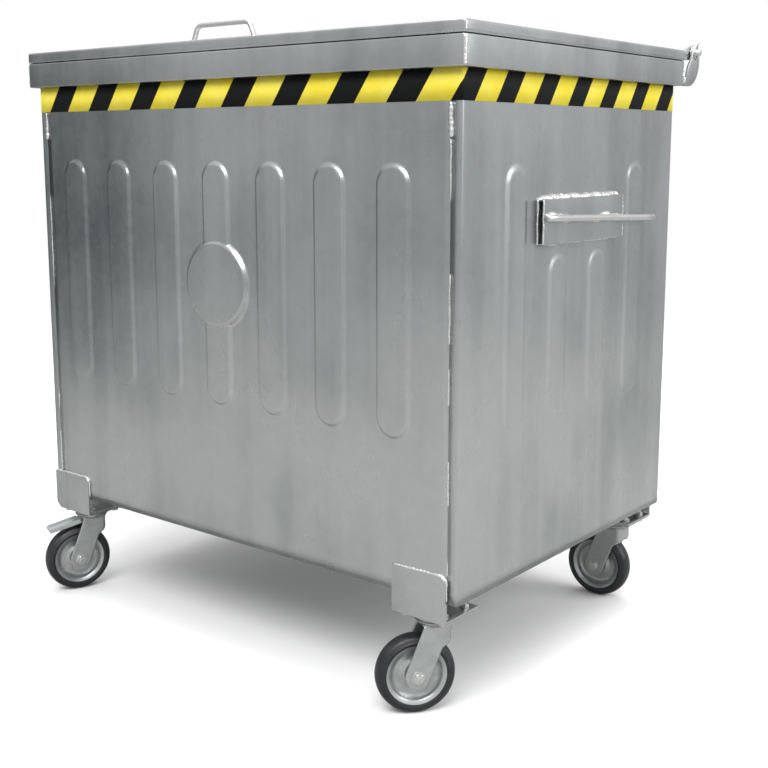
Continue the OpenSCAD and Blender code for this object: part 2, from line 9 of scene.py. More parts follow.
import bmesh
import bpy
import numpy as np
from bpy.props import FloatProperty, FloatVectorProperty, IntProperty, PointerProperty
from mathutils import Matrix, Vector


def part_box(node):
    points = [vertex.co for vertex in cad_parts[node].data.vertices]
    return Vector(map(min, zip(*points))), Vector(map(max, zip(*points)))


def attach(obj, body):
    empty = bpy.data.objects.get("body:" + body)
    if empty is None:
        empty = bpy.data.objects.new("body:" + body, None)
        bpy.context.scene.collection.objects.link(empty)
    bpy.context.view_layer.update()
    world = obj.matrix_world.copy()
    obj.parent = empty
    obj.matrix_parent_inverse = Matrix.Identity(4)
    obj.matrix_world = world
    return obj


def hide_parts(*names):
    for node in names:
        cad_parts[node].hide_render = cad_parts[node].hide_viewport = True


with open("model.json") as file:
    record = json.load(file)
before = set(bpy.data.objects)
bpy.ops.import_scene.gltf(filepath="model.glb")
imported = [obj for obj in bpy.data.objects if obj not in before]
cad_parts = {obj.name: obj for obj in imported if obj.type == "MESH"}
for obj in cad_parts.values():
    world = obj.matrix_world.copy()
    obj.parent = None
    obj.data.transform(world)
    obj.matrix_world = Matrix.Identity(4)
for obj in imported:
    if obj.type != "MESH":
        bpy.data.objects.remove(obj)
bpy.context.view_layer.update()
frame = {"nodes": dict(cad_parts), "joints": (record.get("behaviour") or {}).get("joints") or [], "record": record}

bl_info = {
    "name": "Oily Waste Can",
    "version": (1, 0, 0),
    "blender": (4, 5, 0),
    "location": "3D Viewport > Sidebar > Waste Can",
    "description": "Builds a galvanised waste container on casters around its steel assembly",
    "category": "Object",
}

RECORD = frame["record"]
BODY_OF = {node: body for body, nodes in RECORD["behaviour"]["bodies"].items() for node in nodes}
SLOT_OF = {part["node"]: part["material_slot"] for part in RECORD["subparts"]}
JOINTS = {joint["name"]: joint for joint in frame["joints"]}
CASTERS = {"fl": "front_left", "fr": "front_right", "rl": "rear_left", "rr": "rear_right"}
PEDALS = ("fl", "rl")

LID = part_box("lid_pan")
RIM = (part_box("rim_left")[0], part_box("rim_right")[1])
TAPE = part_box("warning_tape")
FLOOR_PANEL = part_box("floor_panel")
MID_Y = (LID[0].y + LID[1].y) / 2

# (sideways sign, 0 at the front and 1 at the rear) of the can's four upright corners
CORNERS = ((-1, 0), (1, 0), (-1, 1), (1, 1))
# Colours of the zinc's spangle, of worn tape and of the dust on the tape and tyres
SPANGLE = (0.78, 0.80, 0.82)
FADED_YELLOW = (0.93, 0.83, 0.22)
TAPE_DUST = (0.30, 0.29, 0.25)
TYRE_DUST = (0.10, 0.105, 0.11)
# The shift that brings the middle of the painted shade patch to the origin: a dark reflection painted on the front
# panel's upper left
PAINTED_SHADE_SHIFT = (0.39, 0.38, -0.60)
# Width, height and ripple pitch of each kind of weld, and the share of it that sinks into the metal
WELDS = {
    "seam": (0.0034, 0.0013, 0.006, 0.36),
    "seam_end": (0.008, 0.0028, 0.008, 0),
    "rim_corner": (0.0055, 0.0024, 0.005, 0),
    "sleeve_top": (0.014, 0.0065, 0.009, 0),
    "sleeve_under": (0.0065, 0.003, 0.007, 0.25),
    "sleeve_root": (0.0045, 0.002, 0.008, 0.1),
    "sleeve_lip": (0.0030, 0.0014, 0.01, 0.12),
    "bar": (0.006, 0.0032, 0.006, 0.3),
    "bar_tack": (0.011, 0.0065, 0.009, 0),
    "bracket": (0.0052, 0.0024, 0.0075, 0),
    "lug": (0.005, 0.0022, 0.005, 0),
    "handle": (0.005, 0.0024, 0.004, 0),
}


# ---- sizes and colours ----


def length(name, description, default):
    return FloatProperty(name=name, description=description, default=default, unit="LENGTH",
                         subtype="DISTANCE")


def number(name, description, default, subtype="NONE"):
    return FloatProperty(name=name, description=description, default=default, subtype=subtype)


def colour(name, description, default):
    return FloatVectorProperty(name=name, description=description, default=default, size=3, min=0, max=1,
                               subtype="COLOR")


class PressedSheet(bpy.types.PropertyGroup):
    sheet: length("Sheet", "Thickness of the body's sheet", 0.002)
    corner: length("Corner radius", "Outside radius of the folded vertical corners", 0.005)
    wrap: length("Fold", "How far a side panel folds round onto the front and rear", 0.020)
    rib_width: length("Rib width", "Width of a rib at the sheet", 0.072)
    rib_pitch: length("Rib pitch", "Distance from one rib's centre to the next", 0.138)
    rib_height: length("Rib height", "Height of the ribs", 0.005)
    rib_slope: length("Rib flank", "Width of a rib's sloped flank", 0.0065)
    rib_count: IntProperty(name="Ribs", description="Ribs on the front and on the rear", default=7)
    rib_shift: length("Rib offset", "Sideways offset of the front ribs", -0.012)
    rib_foot: length("Rib foot", "Height of the ribs' lower ends above the body's bottom edge", 0.262)
    rib_head: length("Rib head", "Distance from the tape down to the ribs' upper ends", 0.096)
    side_height: length("Side rib height", "Height of the side ribs", 0.0028)
    side_slope: length("Side rib flank", "Width of a side rib's sloped flank", 0.014)
    side_pitch: length("Side rib pitch", "Distance from one side rib's centre to the next", 0.141)
    side_gap: length("Side rib gap", "Gap between a lifting sleeve and the short ribs below it", 0.016)
    disc: length("Disc diameter", "Diameter of the round pressed disc", 0.168)
    disc_height: length("Disc height", "Height of the disc", 0.008)
    disc_slope: length("Disc flank", "Width of the disc's sloped flank", 0.009)
    disc_drop: length("Disc drop", "Distance from the ribs' upper ends down to the disc's centre", 0.226)
    wave: length("Sheet wave", "Height of the slow waves in the sheet", 0.0007)


class RimAndLid(bpy.types.PropertyGroup):
    rim_sheet: length("Rim sheet", "Thickness of the rim's sheet", 0.003)
    rim_out: length("Rim step", "How far the rim stands out from the body", 0.015)
    rim_bend: length("Rim bend", "Rounding of the rim's folds", 0.0035)
    lid_sheet: length("Lid sheet", "Thickness of the lid's sheet", 0.002)
    lid_bend: length("Lid bend", "Rounding of the lid's folded edge", 0.004)
    lid_corner: length("Lid corner", "Radius of the lid's corners", 0.004)
    lid_crown: length("Lid crown", "Rise of the lid's middle", 0.0025)
    handle: length("Handle bar", "Diameter of the handle's bar", 0.009)
    handle_top: length("Handle top", "Distance between the handle's upper bends", 0.132)
    handle_bend: length("Handle bend", "Rounding of the handle's bends", 0.011)


class WarningBand(bpy.types.PropertyGroup):
    pitch: length("Stripe pitch", "Distance between black stripes along the front and rear", 0.127)
    side_pitch: length("Side stripe pitch", "Distance between black stripes along the sides", 0.113)
    black: number("Black share", "Share of the pitch that is black", 0.47, "FACTOR")
    start: length("Stripe start", "Distance of the first black stripe from the front left corner", 0.033)
    lean: number("Lean", "Sideways run of a stripe for its height", 0.70)


class CasterSizes(bpy.types.PropertyGroup):
    hole_length: length("Hole spacing along", "Distance between bolt holes along the plate", 0.080)
    hole_width: length("Hole spacing across", "Distance between bolt holes across the plate", 0.060)
    bolt: length("Bolt", "Diameter of the plate's bolts", 0.008)
    width: length("Wheel width", "Width of a wheel's tyre", 0.038)
    fork_in: length("Fork half gap", "Distance from a wheel's middle to the inside of a leg", 0.023)
    fork_sheet: length("Fork sheet", "Thickness of a fork's sheet", 0.003)
    fork_leg: length("Fork leg", "Width of a fork's leg", 0.044)
    fork_bend: length("Fork bend", "Radius of the bend between a fork's leg and its web", 0.007)
    axle: length("Axle", "Diameter of an axle", 0.012)
    rim_share: number("Rim share", "Rim radius as a share of the wheel's", 0.73)
    rim_flange: length("Rim flange", "Height of the rim's flange", 0.004)


class Finishes(bpy.types.PropertyGroup):
    zinc: colour("Zinc", "Colour of the galvanised sheet", (0.45, 0.465, 0.468))
    # The patina colour also darkens the painted shade patch on the front panel's upper left
    patina_and_shade: colour("Patina", "Colour of the galvanised sheet's dull patches", (0.115, 0.142, 0.145))
    bright: colour("Bright zinc", "Colour of fresh zinc on bars, bolts and welds", (0.62, 0.62, 0.61))
    pressed: colour("Pressed zinc", "Colour of the casters' pressed steel", (0.47, 0.49, 0.49))
    yellow: colour("Yellow", "Colour of the band's yellow stripes", (0.80, 0.66, 0.045))
    black: colour("Black", "Colour of the band's black stripes", (0.006, 0.0065, 0.007))
    rubber: colour("Rubber", "Colour of the tyres", (0.016, 0.018, 0.020))


class StageSettings(bpy.types.PropertyGroup):
    azimuth: number("Azimuth", "Camera's turn round the can from its front", math.radians(38.66), "ANGLE")
    elevation: number("Elevation", "Camera's angle above the horizon", math.radians(9.18), "ANGLE")
    distance: length("Distance", "Distance from the camera to its target", 2.4151)
    target_x: length("Target X", "Sideways place of the camera's target", 0.0865)
    target_z: length("Target height", "Height of the camera's target", 0.575)
    lens: FloatProperty(name="Lens", description="Focal length", default=54.79, unit="CAMERA")
    shift: number("Shift", "Upright shift of the lens", -0.0634)


class WasteCan(bpy.types.PropertyGroup):
    body: PointerProperty(type=PressedSheet, name="Body", description="Sizes of the pressed body")
    top: PointerProperty(type=RimAndLid, name="Rim and lid", description="Sizes of the rim and lid")
    band: PointerProperty(type=WarningBand, name="Warning band", description="Sizes of the warning band")
    casters: PointerProperty(type=CasterSizes, name="Casters", description="Sizes of the casters")
    finish: PointerProperty(type=Finishes, name="Finishes", description="Colours of the finishes")
    stage: PointerProperty(type=StageSettings, name="Stage", description="The camera")


# ---- numpy surfaces ----


def smooth(t):
    """The S-curve 3t^2 - 2t^3, held at 0 below t = 0 and at 1 above t = 1."""
    t = np.clip(t, 0, 1)
    return t * t * (3 - 2 * t)


def spaced(low, high, step, fine=()):
    """Rising positions from low to high about a step apart, closer inside each (start, end, step) of
    fine."""
    spots = np.linspace(low, high, max(2, round((high - low) / step) + 1))
    for start, end, small in fine:
        start, end = max(start, low), min(end, high)
        inner = np.linspace(start, end, max(2, round((end - start) / small) + 1))
        spots = np.concatenate([spots[(spots < start - small) | (spots > end + small)], inner])
    spots = np.sort(np.concatenate([spots, [low, high]]))
    return spots[np.concatenate([[True], np.diff(spots) > 2e-4])]


def rounded(points, radius, steps=4):
    """A closed outline whose corners are cut back by radius along both edges and joined by a parabola."""
    p = np.asarray(points, float)
    cut = np.broadcast_to(np.asarray(radius, float), len(p))[:, None]
    back, ahead = np.roll(p, 1, 0) - p, np.roll(p, -1, 0) - p
    start = p + back / np.linalg.norm(back, axis=1, keepdims=True) * cut
    end = p + ahead / np.linalg.norm(ahead, axis=1, keepdims=True) * cut
    t = np.linspace(0, 1, steps + 1)[None, :, None]
    curve = start[:, None] * (1 - t) ** 2 + 2 * p[:, None] * t * (1 - t) + end[:, None] * t ** 2
    return curve.reshape(-1, p.shape[1])


def quads(rows, columns, close_rows=False, close_columns=False):
    """Vertex numbers of the four-sided faces of a grid, closed round either way where asked."""
    i = np.arange(rows if close_rows else rows - 1)
    j = np.arange(columns if close_columns else columns - 1)
    i, j = (a.ravel() for a in np.meshgrid(i, j, indexing="ij"))
    i2, j2 = (i + 1) % rows, (j + 1) % columns
    return np.stack([i * columns + j, i * columns + j2, i2 * columns + j2, i2 * columns + j], 1)


def skin(grid, close_rows=False, close_columns=False):
    """(points, faces) of a grid of points, with equal points made one and empty faces dropped."""
    faces = quads(grid.shape[0], grid.shape[1], close_rows, close_columns)
    points, number = np.unique(np.round(grid.reshape(-1, 3), 7), axis=0, return_inverse=True)
    faces = [list(dict.fromkeys(face)) for face in number.reshape(-1)[faces].tolist()]
    return points, [face for face in faces if len(face) > 2]


def across(axis):
    """Two unit vectors at right angles to an axis and to each other."""
    axis = np.asarray(axis, float) / np.linalg.norm(axis)
    side = np.cross(axis, (0, 0, 1) if abs(axis[2]) < 0.9 else (1, 0, 0))
    side /= np.linalg.norm(side)
    return axis, side, np.cross(axis, side)


def turned(profile, centre, axis, steps=64, closed=False):
    """A profile of (radius, height) turned about an axis: centre + radius (cos a u + sin a v) +
    height axis."""
    axis, u, v = across(axis)
    a = np.linspace(0, 2 * math.pi, steps, endpoint=False)
    ring = np.cos(a)[:, None] * u + np.sin(a)[:, None] * v
    profile = np.asarray(profile, float)
    grid = profile[:, 0, None, None] * ring + profile[:, 1, None, None] * axis + np.asarray(centre, float)
    return skin(grid, closed, True)


def rod(path, radius, steps=20, chamfer=0.0):
    """A round bar along a path: path + r (cos a n + sin a b), with n and b square to the path, r = 0
    at both ends."""
    path = np.asarray(path, float)
    tangent = np.gradient(path, axis=0)
    tangent /= np.linalg.norm(tangent, axis=1, keepdims=True)
    bend = np.cross(tangent[0], tangent[-1])
    if np.linalg.norm(bend) < 1e-6:
        bend = across(tangent[0])[1]
    bend = bend / np.linalg.norm(bend)
    normal = np.cross(bend, tangent)
    last = len(path) - 1
    stations = [(0, 0.0), (0, radius - chamfer), *((k, radius) for k in range(last + 1)),
                (last, radius - chamfer), (last, 0.0)]
    index = np.array([k for k, _ in stations])
    r = np.array([size for _, size in stations])
    places = path[index].copy()
    places[2] += tangent[0] * chamfer
    places[-3] -= tangent[-1] * chamfer
    a = np.linspace(0, 2 * math.pi, steps, endpoint=False)[None, :, None]
    ring = np.cos(a) * normal[index][:, None] + np.sin(a) * bend
    return skin(places[:, None] + r[:, None, None] * ring, False, True)


def wander(count, every, seed):
    """Values between -1 and 1 that change slowly along a row: random numbers joined by S-curves."""
    knots = np.random.default_rng(seed).uniform(-1, 1, count // every + 2)
    place = np.arange(count) / every
    low = place.astype(int)
    return knots[low] + (knots[low + 1] - knots[low]) * smooth(place - low)


def bead(path, width, height, out, seed, pitch=0.005, gaps=0.0, step=0.0013):
    """A weld bead along a path: an ellipse of the given width and height about the path, square to
    it, whose size ripples once a pitch and wanders slowly. out is the direction that the height
    points. With gaps above 0 the bead shrinks below the surface where the slow wander is under that
    share."""
    path = np.asarray(path, float)
    run = np.concatenate([[0], np.cumsum(np.linalg.norm(np.diff(path, axis=0), axis=1))])
    count = max(8, int(run[-1] / step))
    s = np.linspace(0, run[-1], count)
    line = np.stack([np.interp(s, run, path[:, k]) for k in range(3)], 1)
    tangent = np.gradient(line, axis=0)
    tangent /= np.linalg.norm(tangent, axis=1, keepdims=True)
    out = np.asarray(out, float) / np.linalg.norm(out)
    side = np.cross(tangent, out)
    side /= np.linalg.norm(side, axis=1, keepdims=True)
    ripple = 0.86 + 0.14 * np.abs(np.sin(math.pi * s / pitch + 0.8 * wander(count, 9, seed)))
    size = ripple * (1 + 0.22 * wander(count, 14, seed + 1) + 0.12 * wander(count, 4, seed + 2))
    if gaps:
        size = size * smooth((wander(count, 40, seed + 3) + 1 - 2 * gaps) / 0.25)
    size = size * np.sqrt(np.clip(np.minimum(s, run[-1] - s) / (0.6 * width), 0, 1))
    drift = 0.16 * width * wander(count, 12, seed + 4)
    a = np.linspace(0, 2 * math.pi, 10, endpoint=False)[None, :, None]
    centre = line + side * drift[:, None]
    across_part = 0.5 * width * (size * (1 + 0.15 * wander(count, 6, seed + 5)))[:, None, None]
    ring = across_part * np.cos(a) * side[:, None] + height * size[:, None, None] * np.sin(a) * out
    return skin(centre[:, None] + ring, False, True)


def weld(kind, path, out, seed):
    """A bead with the sizes of one kind of weld."""
    width, height, pitch, gaps = WELDS[kind]
    return bead(np.array(path), width, height, out, seed, pitch, gaps)


def rings(half_x, half_y, corner, height, centre, arc=5, along=(24, 16)):
    """Nested rounded rectangles, one for each row: straight sides with a quarter circle of the corner
    radius at each corner, at the row's height. Each argument before centre is an array with one value
    a row."""
    columns = (half_x, half_y, corner, height)
    half_x, half_y, corner, height = (np.asarray(column, float)[:, None] for column in columns)
    sides = []
    quarter = np.linspace(0, math.pi / 2, arc + 1)
    for k, (sx, sy, nx, ny) in enumerate([(1, -1, 1, 1), (1, 1, -1, 1), (-1, 1, -1, -1), (-1, -1, 1, -1)]):
        turn = quarter + (k - 1) * math.pi / 2
        ax = sx * (half_x - corner) + corner * np.cos(turn)
        ay = sy * (half_y - corner) + corner * np.sin(turn)
        bx = nx * (half_x - corner) + corner * math.cos(k * math.pi / 2)
        by = ny * (half_y - corner) + corner * math.sin(k * math.pi / 2)
        t = np.linspace(0, 1, along[(k + 1) % 2] + 1)[1:-1]
        sides += [np.stack([ax, ay], 2),
                  np.stack([ax[:, -1:] + (bx - ax[:, -1:]) * t, ay[:, -1:] + (by - ay[:, -1:]) * t], 2)]
    flat = np.concatenate(sides, 1)
    z = np.broadcast_to(height[:, :, None], flat.shape[:2] + (1,))
    return np.concatenate([flat, z], 2) + np.asarray(centre, float)


def slab(half_x, half_y, corner, low, high, edge, centre):
    """A flat plate with rounded edges: nested rounded rectangles whose outline in section is a
    rounded box."""
    turn = np.linspace(0, math.pi / 2, 4)
    inset = np.concatenate([edge * (1 - np.sin(turn)), edge * (1 - np.cos(turn))])
    height = np.concatenate([low + edge * (1 - np.cos(turn)), high - edge * (1 - np.sin(turn))])
    inset = np.concatenate([[0.999 * half_y], inset, [0.999 * half_y]])
    height = np.concatenate([[low], height, [high]])
    inner = np.maximum(corner - inset, 0.0002)
    half_y = np.maximum(half_y - inset, 0.0003)
    return skin(rings(half_x - inset, half_y, inner, height, centre, 4, (2, 2)), False, True)


def hexagon(across_corners, low, high, centre, axis=(0, 0, 1), turn=0.0):
    """A chamfered hexagon: at angle a its radius is the smaller of apothem / cos(a folded into a
    sixth) and a cone that starts just outside the flats at either end."""
    axis, u, v = across(axis)
    a = np.linspace(0, 2 * math.pi, 36, endpoint=False)
    flat = across_corners / 2 * math.cos(math.pi / 6)
    side = flat / np.cos((a + math.pi / 6) % (math.pi / 3) - math.pi / 6)
    cone = across_corners * 0.04
    thick = high - low
    rows = [(0, 0 * side), (0, np.minimum(side, flat * 0.985)), (cone, side), (thick - cone, side)]
    rows += [(thick, radius) for _, radius in rows[1::-1]]
    radius = np.stack([row[1] for row in rows])
    ring = np.cos(a + turn)[:, None] * u + np.sin(a + turn)[:, None] * v
    height = np.array([low + h for h, _ in rows])
    grid = radius[:, :, None] * ring + height[:, None, None] * axis + np.asarray(centre, float)
    return skin(grid, False, True)


# ---- pieces ----


def new_object(name, points, faces, material, smooth_angle=35):
    """An object at the origin with this mesh and material, smooth except at edges sharper than the
    angle."""
    mesh = bpy.data.meshes.new(name)
    mesh.from_pydata(np.asarray(points).tolist(), [], faces if isinstance(faces, list) else faces.tolist())
    mesh.validate()
    mesh.polygons.foreach_set("use_smooth", np.ones(len(mesh.polygons), bool))
    mesh.set_sharp_from_angle(angle=math.radians(smooth_angle))
    mesh.materials.append(material)
    piece = bpy.data.objects.new(name, mesh)
    bpy.context.scene.collection.objects.link(piece)
    return piece


def solid(name, skins, material, smooth_angle=35):
    """One piece from closed skins, with every face turned outwards."""
    points, faces, start = [], [], 0
    for more_points, more_faces in skins:
        points.append(more_points)
        faces += [[k + start for k in face] for face in more_faces]
        start += len(more_points)
    piece = new_object(name, np.concatenate(points), faces, material, smooth_angle)
    outward(piece)
    return piece


def outward(piece, facing=None, merge=0.0):
    """Makes a mesh's faces agree, and turns them all round where the sum of facing(face) times area
    is below 0. Points closer than merge become one."""
    edit = bmesh.new()
    edit.from_mesh(piece.data)
    if merge:
        bmesh.ops.remove_doubles(edit, verts=edit.verts, dist=merge)
    bmesh.ops.recalc_face_normals(edit, faces=edit.faces)
    if facing and sum(facing(face) * face.calc_area() for face in edit.faces) < 0:
        bmesh.ops.reverse_faces(edit, faces=edit.faces)
    edit.to_mesh(piece.data)
    edit.free()


def upward(face):
    return face.normal.z


def away_from(place):
    """A function of a face: how far its middle lies from the place along its normal."""
    place = Vector(place)
    return lambda face: face.normal.dot(face.calc_center_median() - place)


def sheet(name, grid, facing, thickness, material, close_columns=False):
    """A sheet of metal from a grid of points on its outer face. facing, where given, is the way that
    the grid's middle faces."""
    faces = quads(*grid.shape[:2], False, close_columns)
    points = grid.reshape(-1, 3)
    first, second, _, fourth = points[faces[len(faces) // 2]]
    if facing and np.cross(second - first, fourth - first) @ facing < 0:
        faces = faces[:, ::-1]
    piece = new_object(name, points, faces, material)
    thicken(piece, thickness)
    return piece


def thicken(piece, thickness, offset=-1.0):
    wall = piece.modifiers.new("sheet", "SOLIDIFY")
    wall.thickness = thickness
    wall.offset = offset
    wall.use_even_offset = True
    wall.use_quality_normals = True


def softened(node, material, width, segments=2):
    """A copy of a CAD node's mesh, merged into whole faces, with its edges rounded."""
    piece = bpy.data.objects.new(node + "_finished", frame["nodes"][node].data.copy())
    bpy.context.scene.collection.objects.link(piece)
    edit = bmesh.new()
    edit.from_mesh(piece.data)
    bmesh.ops.remove_doubles(edit, verts=edit.verts, dist=2e-6)
    bmesh.ops.dissolve_limit(edit, angle_limit=math.radians(0.6), verts=edit.verts, edges=edit.edges)
    edit.to_mesh(piece.data)
    edit.free()
    piece.data.materials.clear()
    piece.data.materials.append(material)
    piece.data.polygons.foreach_set("use_smooth", np.ones(len(piece.data.polygons), bool))
    piece.data.polygons.foreach_set("material_index", np.zeros(len(piece.data.polygons), np.int32))
    bevel = piece.modifiers.new("rounded edges", "BEVEL")
    bevel.width = width
    bevel.segments = segments
    bevel.limit_method = "ANGLE"
    bevel.angle_limit = math.radians(40)
    bevel.harden_normals = True
    stands_for(piece, node)
    return piece


def stands_for(piece, *nodes):
    """The piece rides on the first node's body and is shown instead of all the nodes."""
    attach(piece, BODY_OF[nodes[0]])
    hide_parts(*nodes)


def added(piece, body):
    """The piece is extra detail on a body, and rides on that body."""
    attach(piece, body)


def welded(name, beads, body="body", smooth_angle=50):
    """One piece from a group of weld beads on a body."""
    added(solid(name, beads, finish_of("weld"), smooth_angle), body)


# ---- materials ----


def node(tree, kind, inputs=None, **settings):
    """Adds a node, sets its settings, and sets or links its inputs."""
    made = tree.nodes.new(kind)
    for key, value in settings.items():
        setattr(made, key, value)
    for key, value in (inputs or {}).items():
        if isinstance(value, bpy.types.NodeSocket):
            tree.links.new(value, made.inputs[key])
        else:
            made.inputs[key].default_value = value
    return made


def noise(tree, coordinates, scale, detail=3.0, roughness=0.5, stretch=(1, 1, 1), shift=(0, 0, 0)):
    """Soft noise between 0 and 1 over coordinates that are stretched and shifted first."""
    placed = node(tree, "ShaderNodeMapping", {"Vector": coordinates, "Scale": stretch, "Location": shift})
    inputs = {"Vector": placed.outputs["Vector"], "Scale": scale, "Detail": detail, "Roughness": roughness}
    return node(tree, "ShaderNodeTexNoise", inputs).outputs["Fac"]


def remap(tree, value, low, high, to_low=0.0, to_high=1.0):
    """An S-curve from to_low where the value is low to to_high where it is high."""
    inputs = {"Value": value, "From Min": low, "From Max": high, "To Min": to_low, "To Max": to_high}
    return node(tree, "ShaderNodeMapRange", inputs, interpolation_type="SMOOTHSTEP").outputs["Result"]


def maths(tree, operation, first, second=0.0):
    return node(tree, "ShaderNodeMath", {0: first, 1: second}, operation=operation).outputs["Value"]


def blend(tree, share, first, second):
    """The first colour, with the given share of the second; each is a colour or a socket."""
    first, second = (c if isinstance(c, bpy.types.NodeSocket) else (*c, 1.0) for c in (first, second))
    return node(tree, "ShaderNodeMix", {0: share, 6: first, 7: second}, data_type="RGBA",
                clamp_factor=True).outputs[2]


def tinted(tree, tone, value, low, high, share, colour):
    """The tone blended with a colour, by nothing where the value is low and by the share where it is
    high."""
    return blend(tree, remap(tree, value, low, high, 0.0, share), tone, colour)


def new_material(name, **shader_values):
    """A material whose Principled shader has these values, and its tree, shader and Object coordinates."""
    material = bpy.data.materials.new(name)
    material.use_nodes = True
    tree = material.node_tree
    shader = tree.nodes["Principled BSDF"]
    for key, value in shader_values.items():
        shader.inputs[key.replace("_", " ")].default_value = value
    coordinates = tree.nodes.new("ShaderNodeTexCoord").outputs["Object"]
    return material, tree, shader, coordinates


def painted(tree, shader, tone, rough=None):
    tree.links.new(tone, shader.inputs["Base Color"])
    if rough:
        tree.links.new(rough, shader.inputs["Roughness"])


def bumpy(tree, shader, height, distance, strength=1.0):
    bump = node(tree, "ShaderNodeBump", {"Height": height, "Distance": distance, "Strength": strength})
    tree.links.new(bump.outputs["Normal"], shader.inputs["Normal"])


def galvanised(finish, name, rough=0.28):
    """Hot-dip galvanised sheet: broad soft clouds, streaks that run down, a painted shade patch (a dark reflection
    painted on the front panel's upper left), faint spangle.
    """
    material, tree, shader, place = new_material(name, Metallic=0.86)
    broad = noise(tree, place, 2.1, 3, 0.5, (1, 1, 1.1), (3.1, 0.4, 1.7))
    streaks = noise(tree, place, 15.0, 3, 0.5, (1, 1, 0.05))
    clouds = noise(tree, place, 8.0, 3, 0.5, (1, 1, 0.55), (1.3, 2.2, 0.1))
    fine = maths(tree, "ADD", maths(tree, "MULTIPLY", streaks, 0.3), maths(tree, "MULTIPLY", clouds, 0.2))
    mixed = maths(tree, "ADD", maths(tree, "MULTIPLY", broad, 0.5), fine)
    # Painted shade: a dark patch on the front panel's upper left, painted in place of dark surroundings reflected
    # there
    spot = node(tree, "ShaderNodeMapping", {"Vector": place, "Location": PAINTED_SHADE_SHIFT, "Scale": (1, 1, 0.72)})
    spot = spot.outputs["Vector"]
    reach = node(tree, "ShaderNodeVectorMath", {0: spot}, operation="LENGTH").outputs["Value"]
    ragged = maths(tree, "ADD", reach, maths(tree, "MULTIPLY", maths(tree, "ADD", clouds, -0.5), 0.35))
    painted_shade_patch = remap(tree, ragged, 0.08, 0.34, 0.50, 0.0)
    # The dull share is random clouds, which are real tone, plus the painted shade patch
    dull = maths(tree, "ADD", remap(tree, mixed, 0.42, 0.62, 0.0, 0.40), painted_shade_patch)
    tone = blend(tree, dull, finish.zinc, finish.patina_and_shade)
    cells = node(tree, "ShaderNodeTexVoronoi", {"Vector": place, "Scale": 70.0, "Randomness": 1.0})
    cells = node(tree, "ShaderNodeSeparateColor", {"Color": cells.outputs["Color"]}).outputs["Red"]
    tone = tinted(tree, tone, cells, 0.0, 1.0, 0.04, SPANGLE)
    painted(tree, shader, tone, remap(tree, clouds, 0.3, 0.7, rough - 0.03, rough + 0.07))
    bumpy(tree, shader, clouds, 0.0018)
    return material


def bright_zinc(finish, name, tint=1.0, rough=0.34, lumps=0.0006):
    """Fresh zinc on bars, bolts and welds: bright, slightly lumpy, with small dull specks."""
    material, tree, shader, place = new_material(name, Metallic=0.9)
    lump = noise(tree, place, 160.0, 3, 0.55)
    specks = noise(tree, place, 700.0, 2, 0.5)
    light = tuple(min(1.0, c * tint) for c in finish.bright)
    tone = tinted(tree, light, lump, 0.35, 0.75, 0.35, finish.pressed)
    tone = tinted(tree, tone, specks, 0.62, 0.75, 0.3, finish.patina_and_shade)
    painted(tree, shader, tone, remap(tree, lump, 0.3, 0.7, rough - 0.06, rough + 0.1))
    bumpy(tree, shader, lump, lumps)
    return material


def pressed_zinc(finish, name, tint=1.0, rough=0.36):
    """Zinc-plated pressed steel: even light grey with soft clouding and faint drawing marks."""
    material, tree, shader, place = new_material(name, Metallic=0.82)
    cloud = noise(tree, place, 34.0, 4, 0.6)
    marks = noise(tree, place, 240.0, 3, 0.6, (1, 1, 0.25))
    light = tuple(min(1.0, c * tint) for c in finish.pressed)
    tone = tinted(tree, light, cloud, 0.35, 0.7, 0.22, finish.patina_and_shade)
    tone = tinted(tree, tone, marks, 0.55, 0.8, 0.25, finish.bright)
    painted(tree, shader, tone, remap(tree, cloud, 0.3, 0.7, rough - 0.04, rough + 0.12))
    bumpy(tree, shader, marks, 0.00025)
    return material


def striped_tape(finish, band, name):
    """Warning tape: slanted stripes from the tape's own UV map, scuffed and dusty, with a satin face."""
    material, tree, shader, place = new_material(name, Roughness=0.6, Specular_IOR_Level=0.12)
    along = node(tree, "ShaderNodeUVMap", uv_map="stripes").outputs["UV"]
    axes = node(tree, "ShaderNodeSeparateXYZ", {"Vector": along}).outputs
    ragged = maths(tree, "MULTIPLY", noise(tree, place, 300.0, 2), 0.006)
    share = maths(tree, "FRACT", maths(tree, "ADD", axes["X"], ragged))
    edge = 0.008
    black = maths(tree, "MULTIPLY", remap(tree, share, 0.0, edge),
                  remap(tree, share, band.black, band.black + edge, 1.0, 0.0))
    fade = noise(tree, place, 22.0, 4, 0.6)
    yellow = tinted(tree, finish.yellow, fade, 0.35, 0.7, 0.35, FADED_YELLOW)
    tone = blend(tree, black, yellow, finish.black)
    tone = tinted(tree, tone, noise(tree, place, 520.0, 3, 0.7), 0.66, 0.8, 0.08, TAPE_DUST)
    tree.links.new(tone, shader.inputs["Base Color"])
    bumpy(tree, shader, fade, 0.0004)
    return material


def rubber(finish, name):
    """Black rubber: a satin moulded face with a fine grain and a little grey road dust."""
    material, tree, shader, place = new_material(name, Specular_IOR_Level=0.42)
    grain = noise(tree, place, 900.0, 3, 0.6)
    dust = noise(tree, place, 40.0, 5, 0.65)
    tone = tinted(tree, finish.rubber, dust, 0.5, 0.8, 0.22, TYRE_DUST)
    painted(tree, shader, tone, remap(tree, dust, 0.3, 0.8, 0.30, 0.52))
    bumpy(tree, shader, grain, 0.0002)
    return material


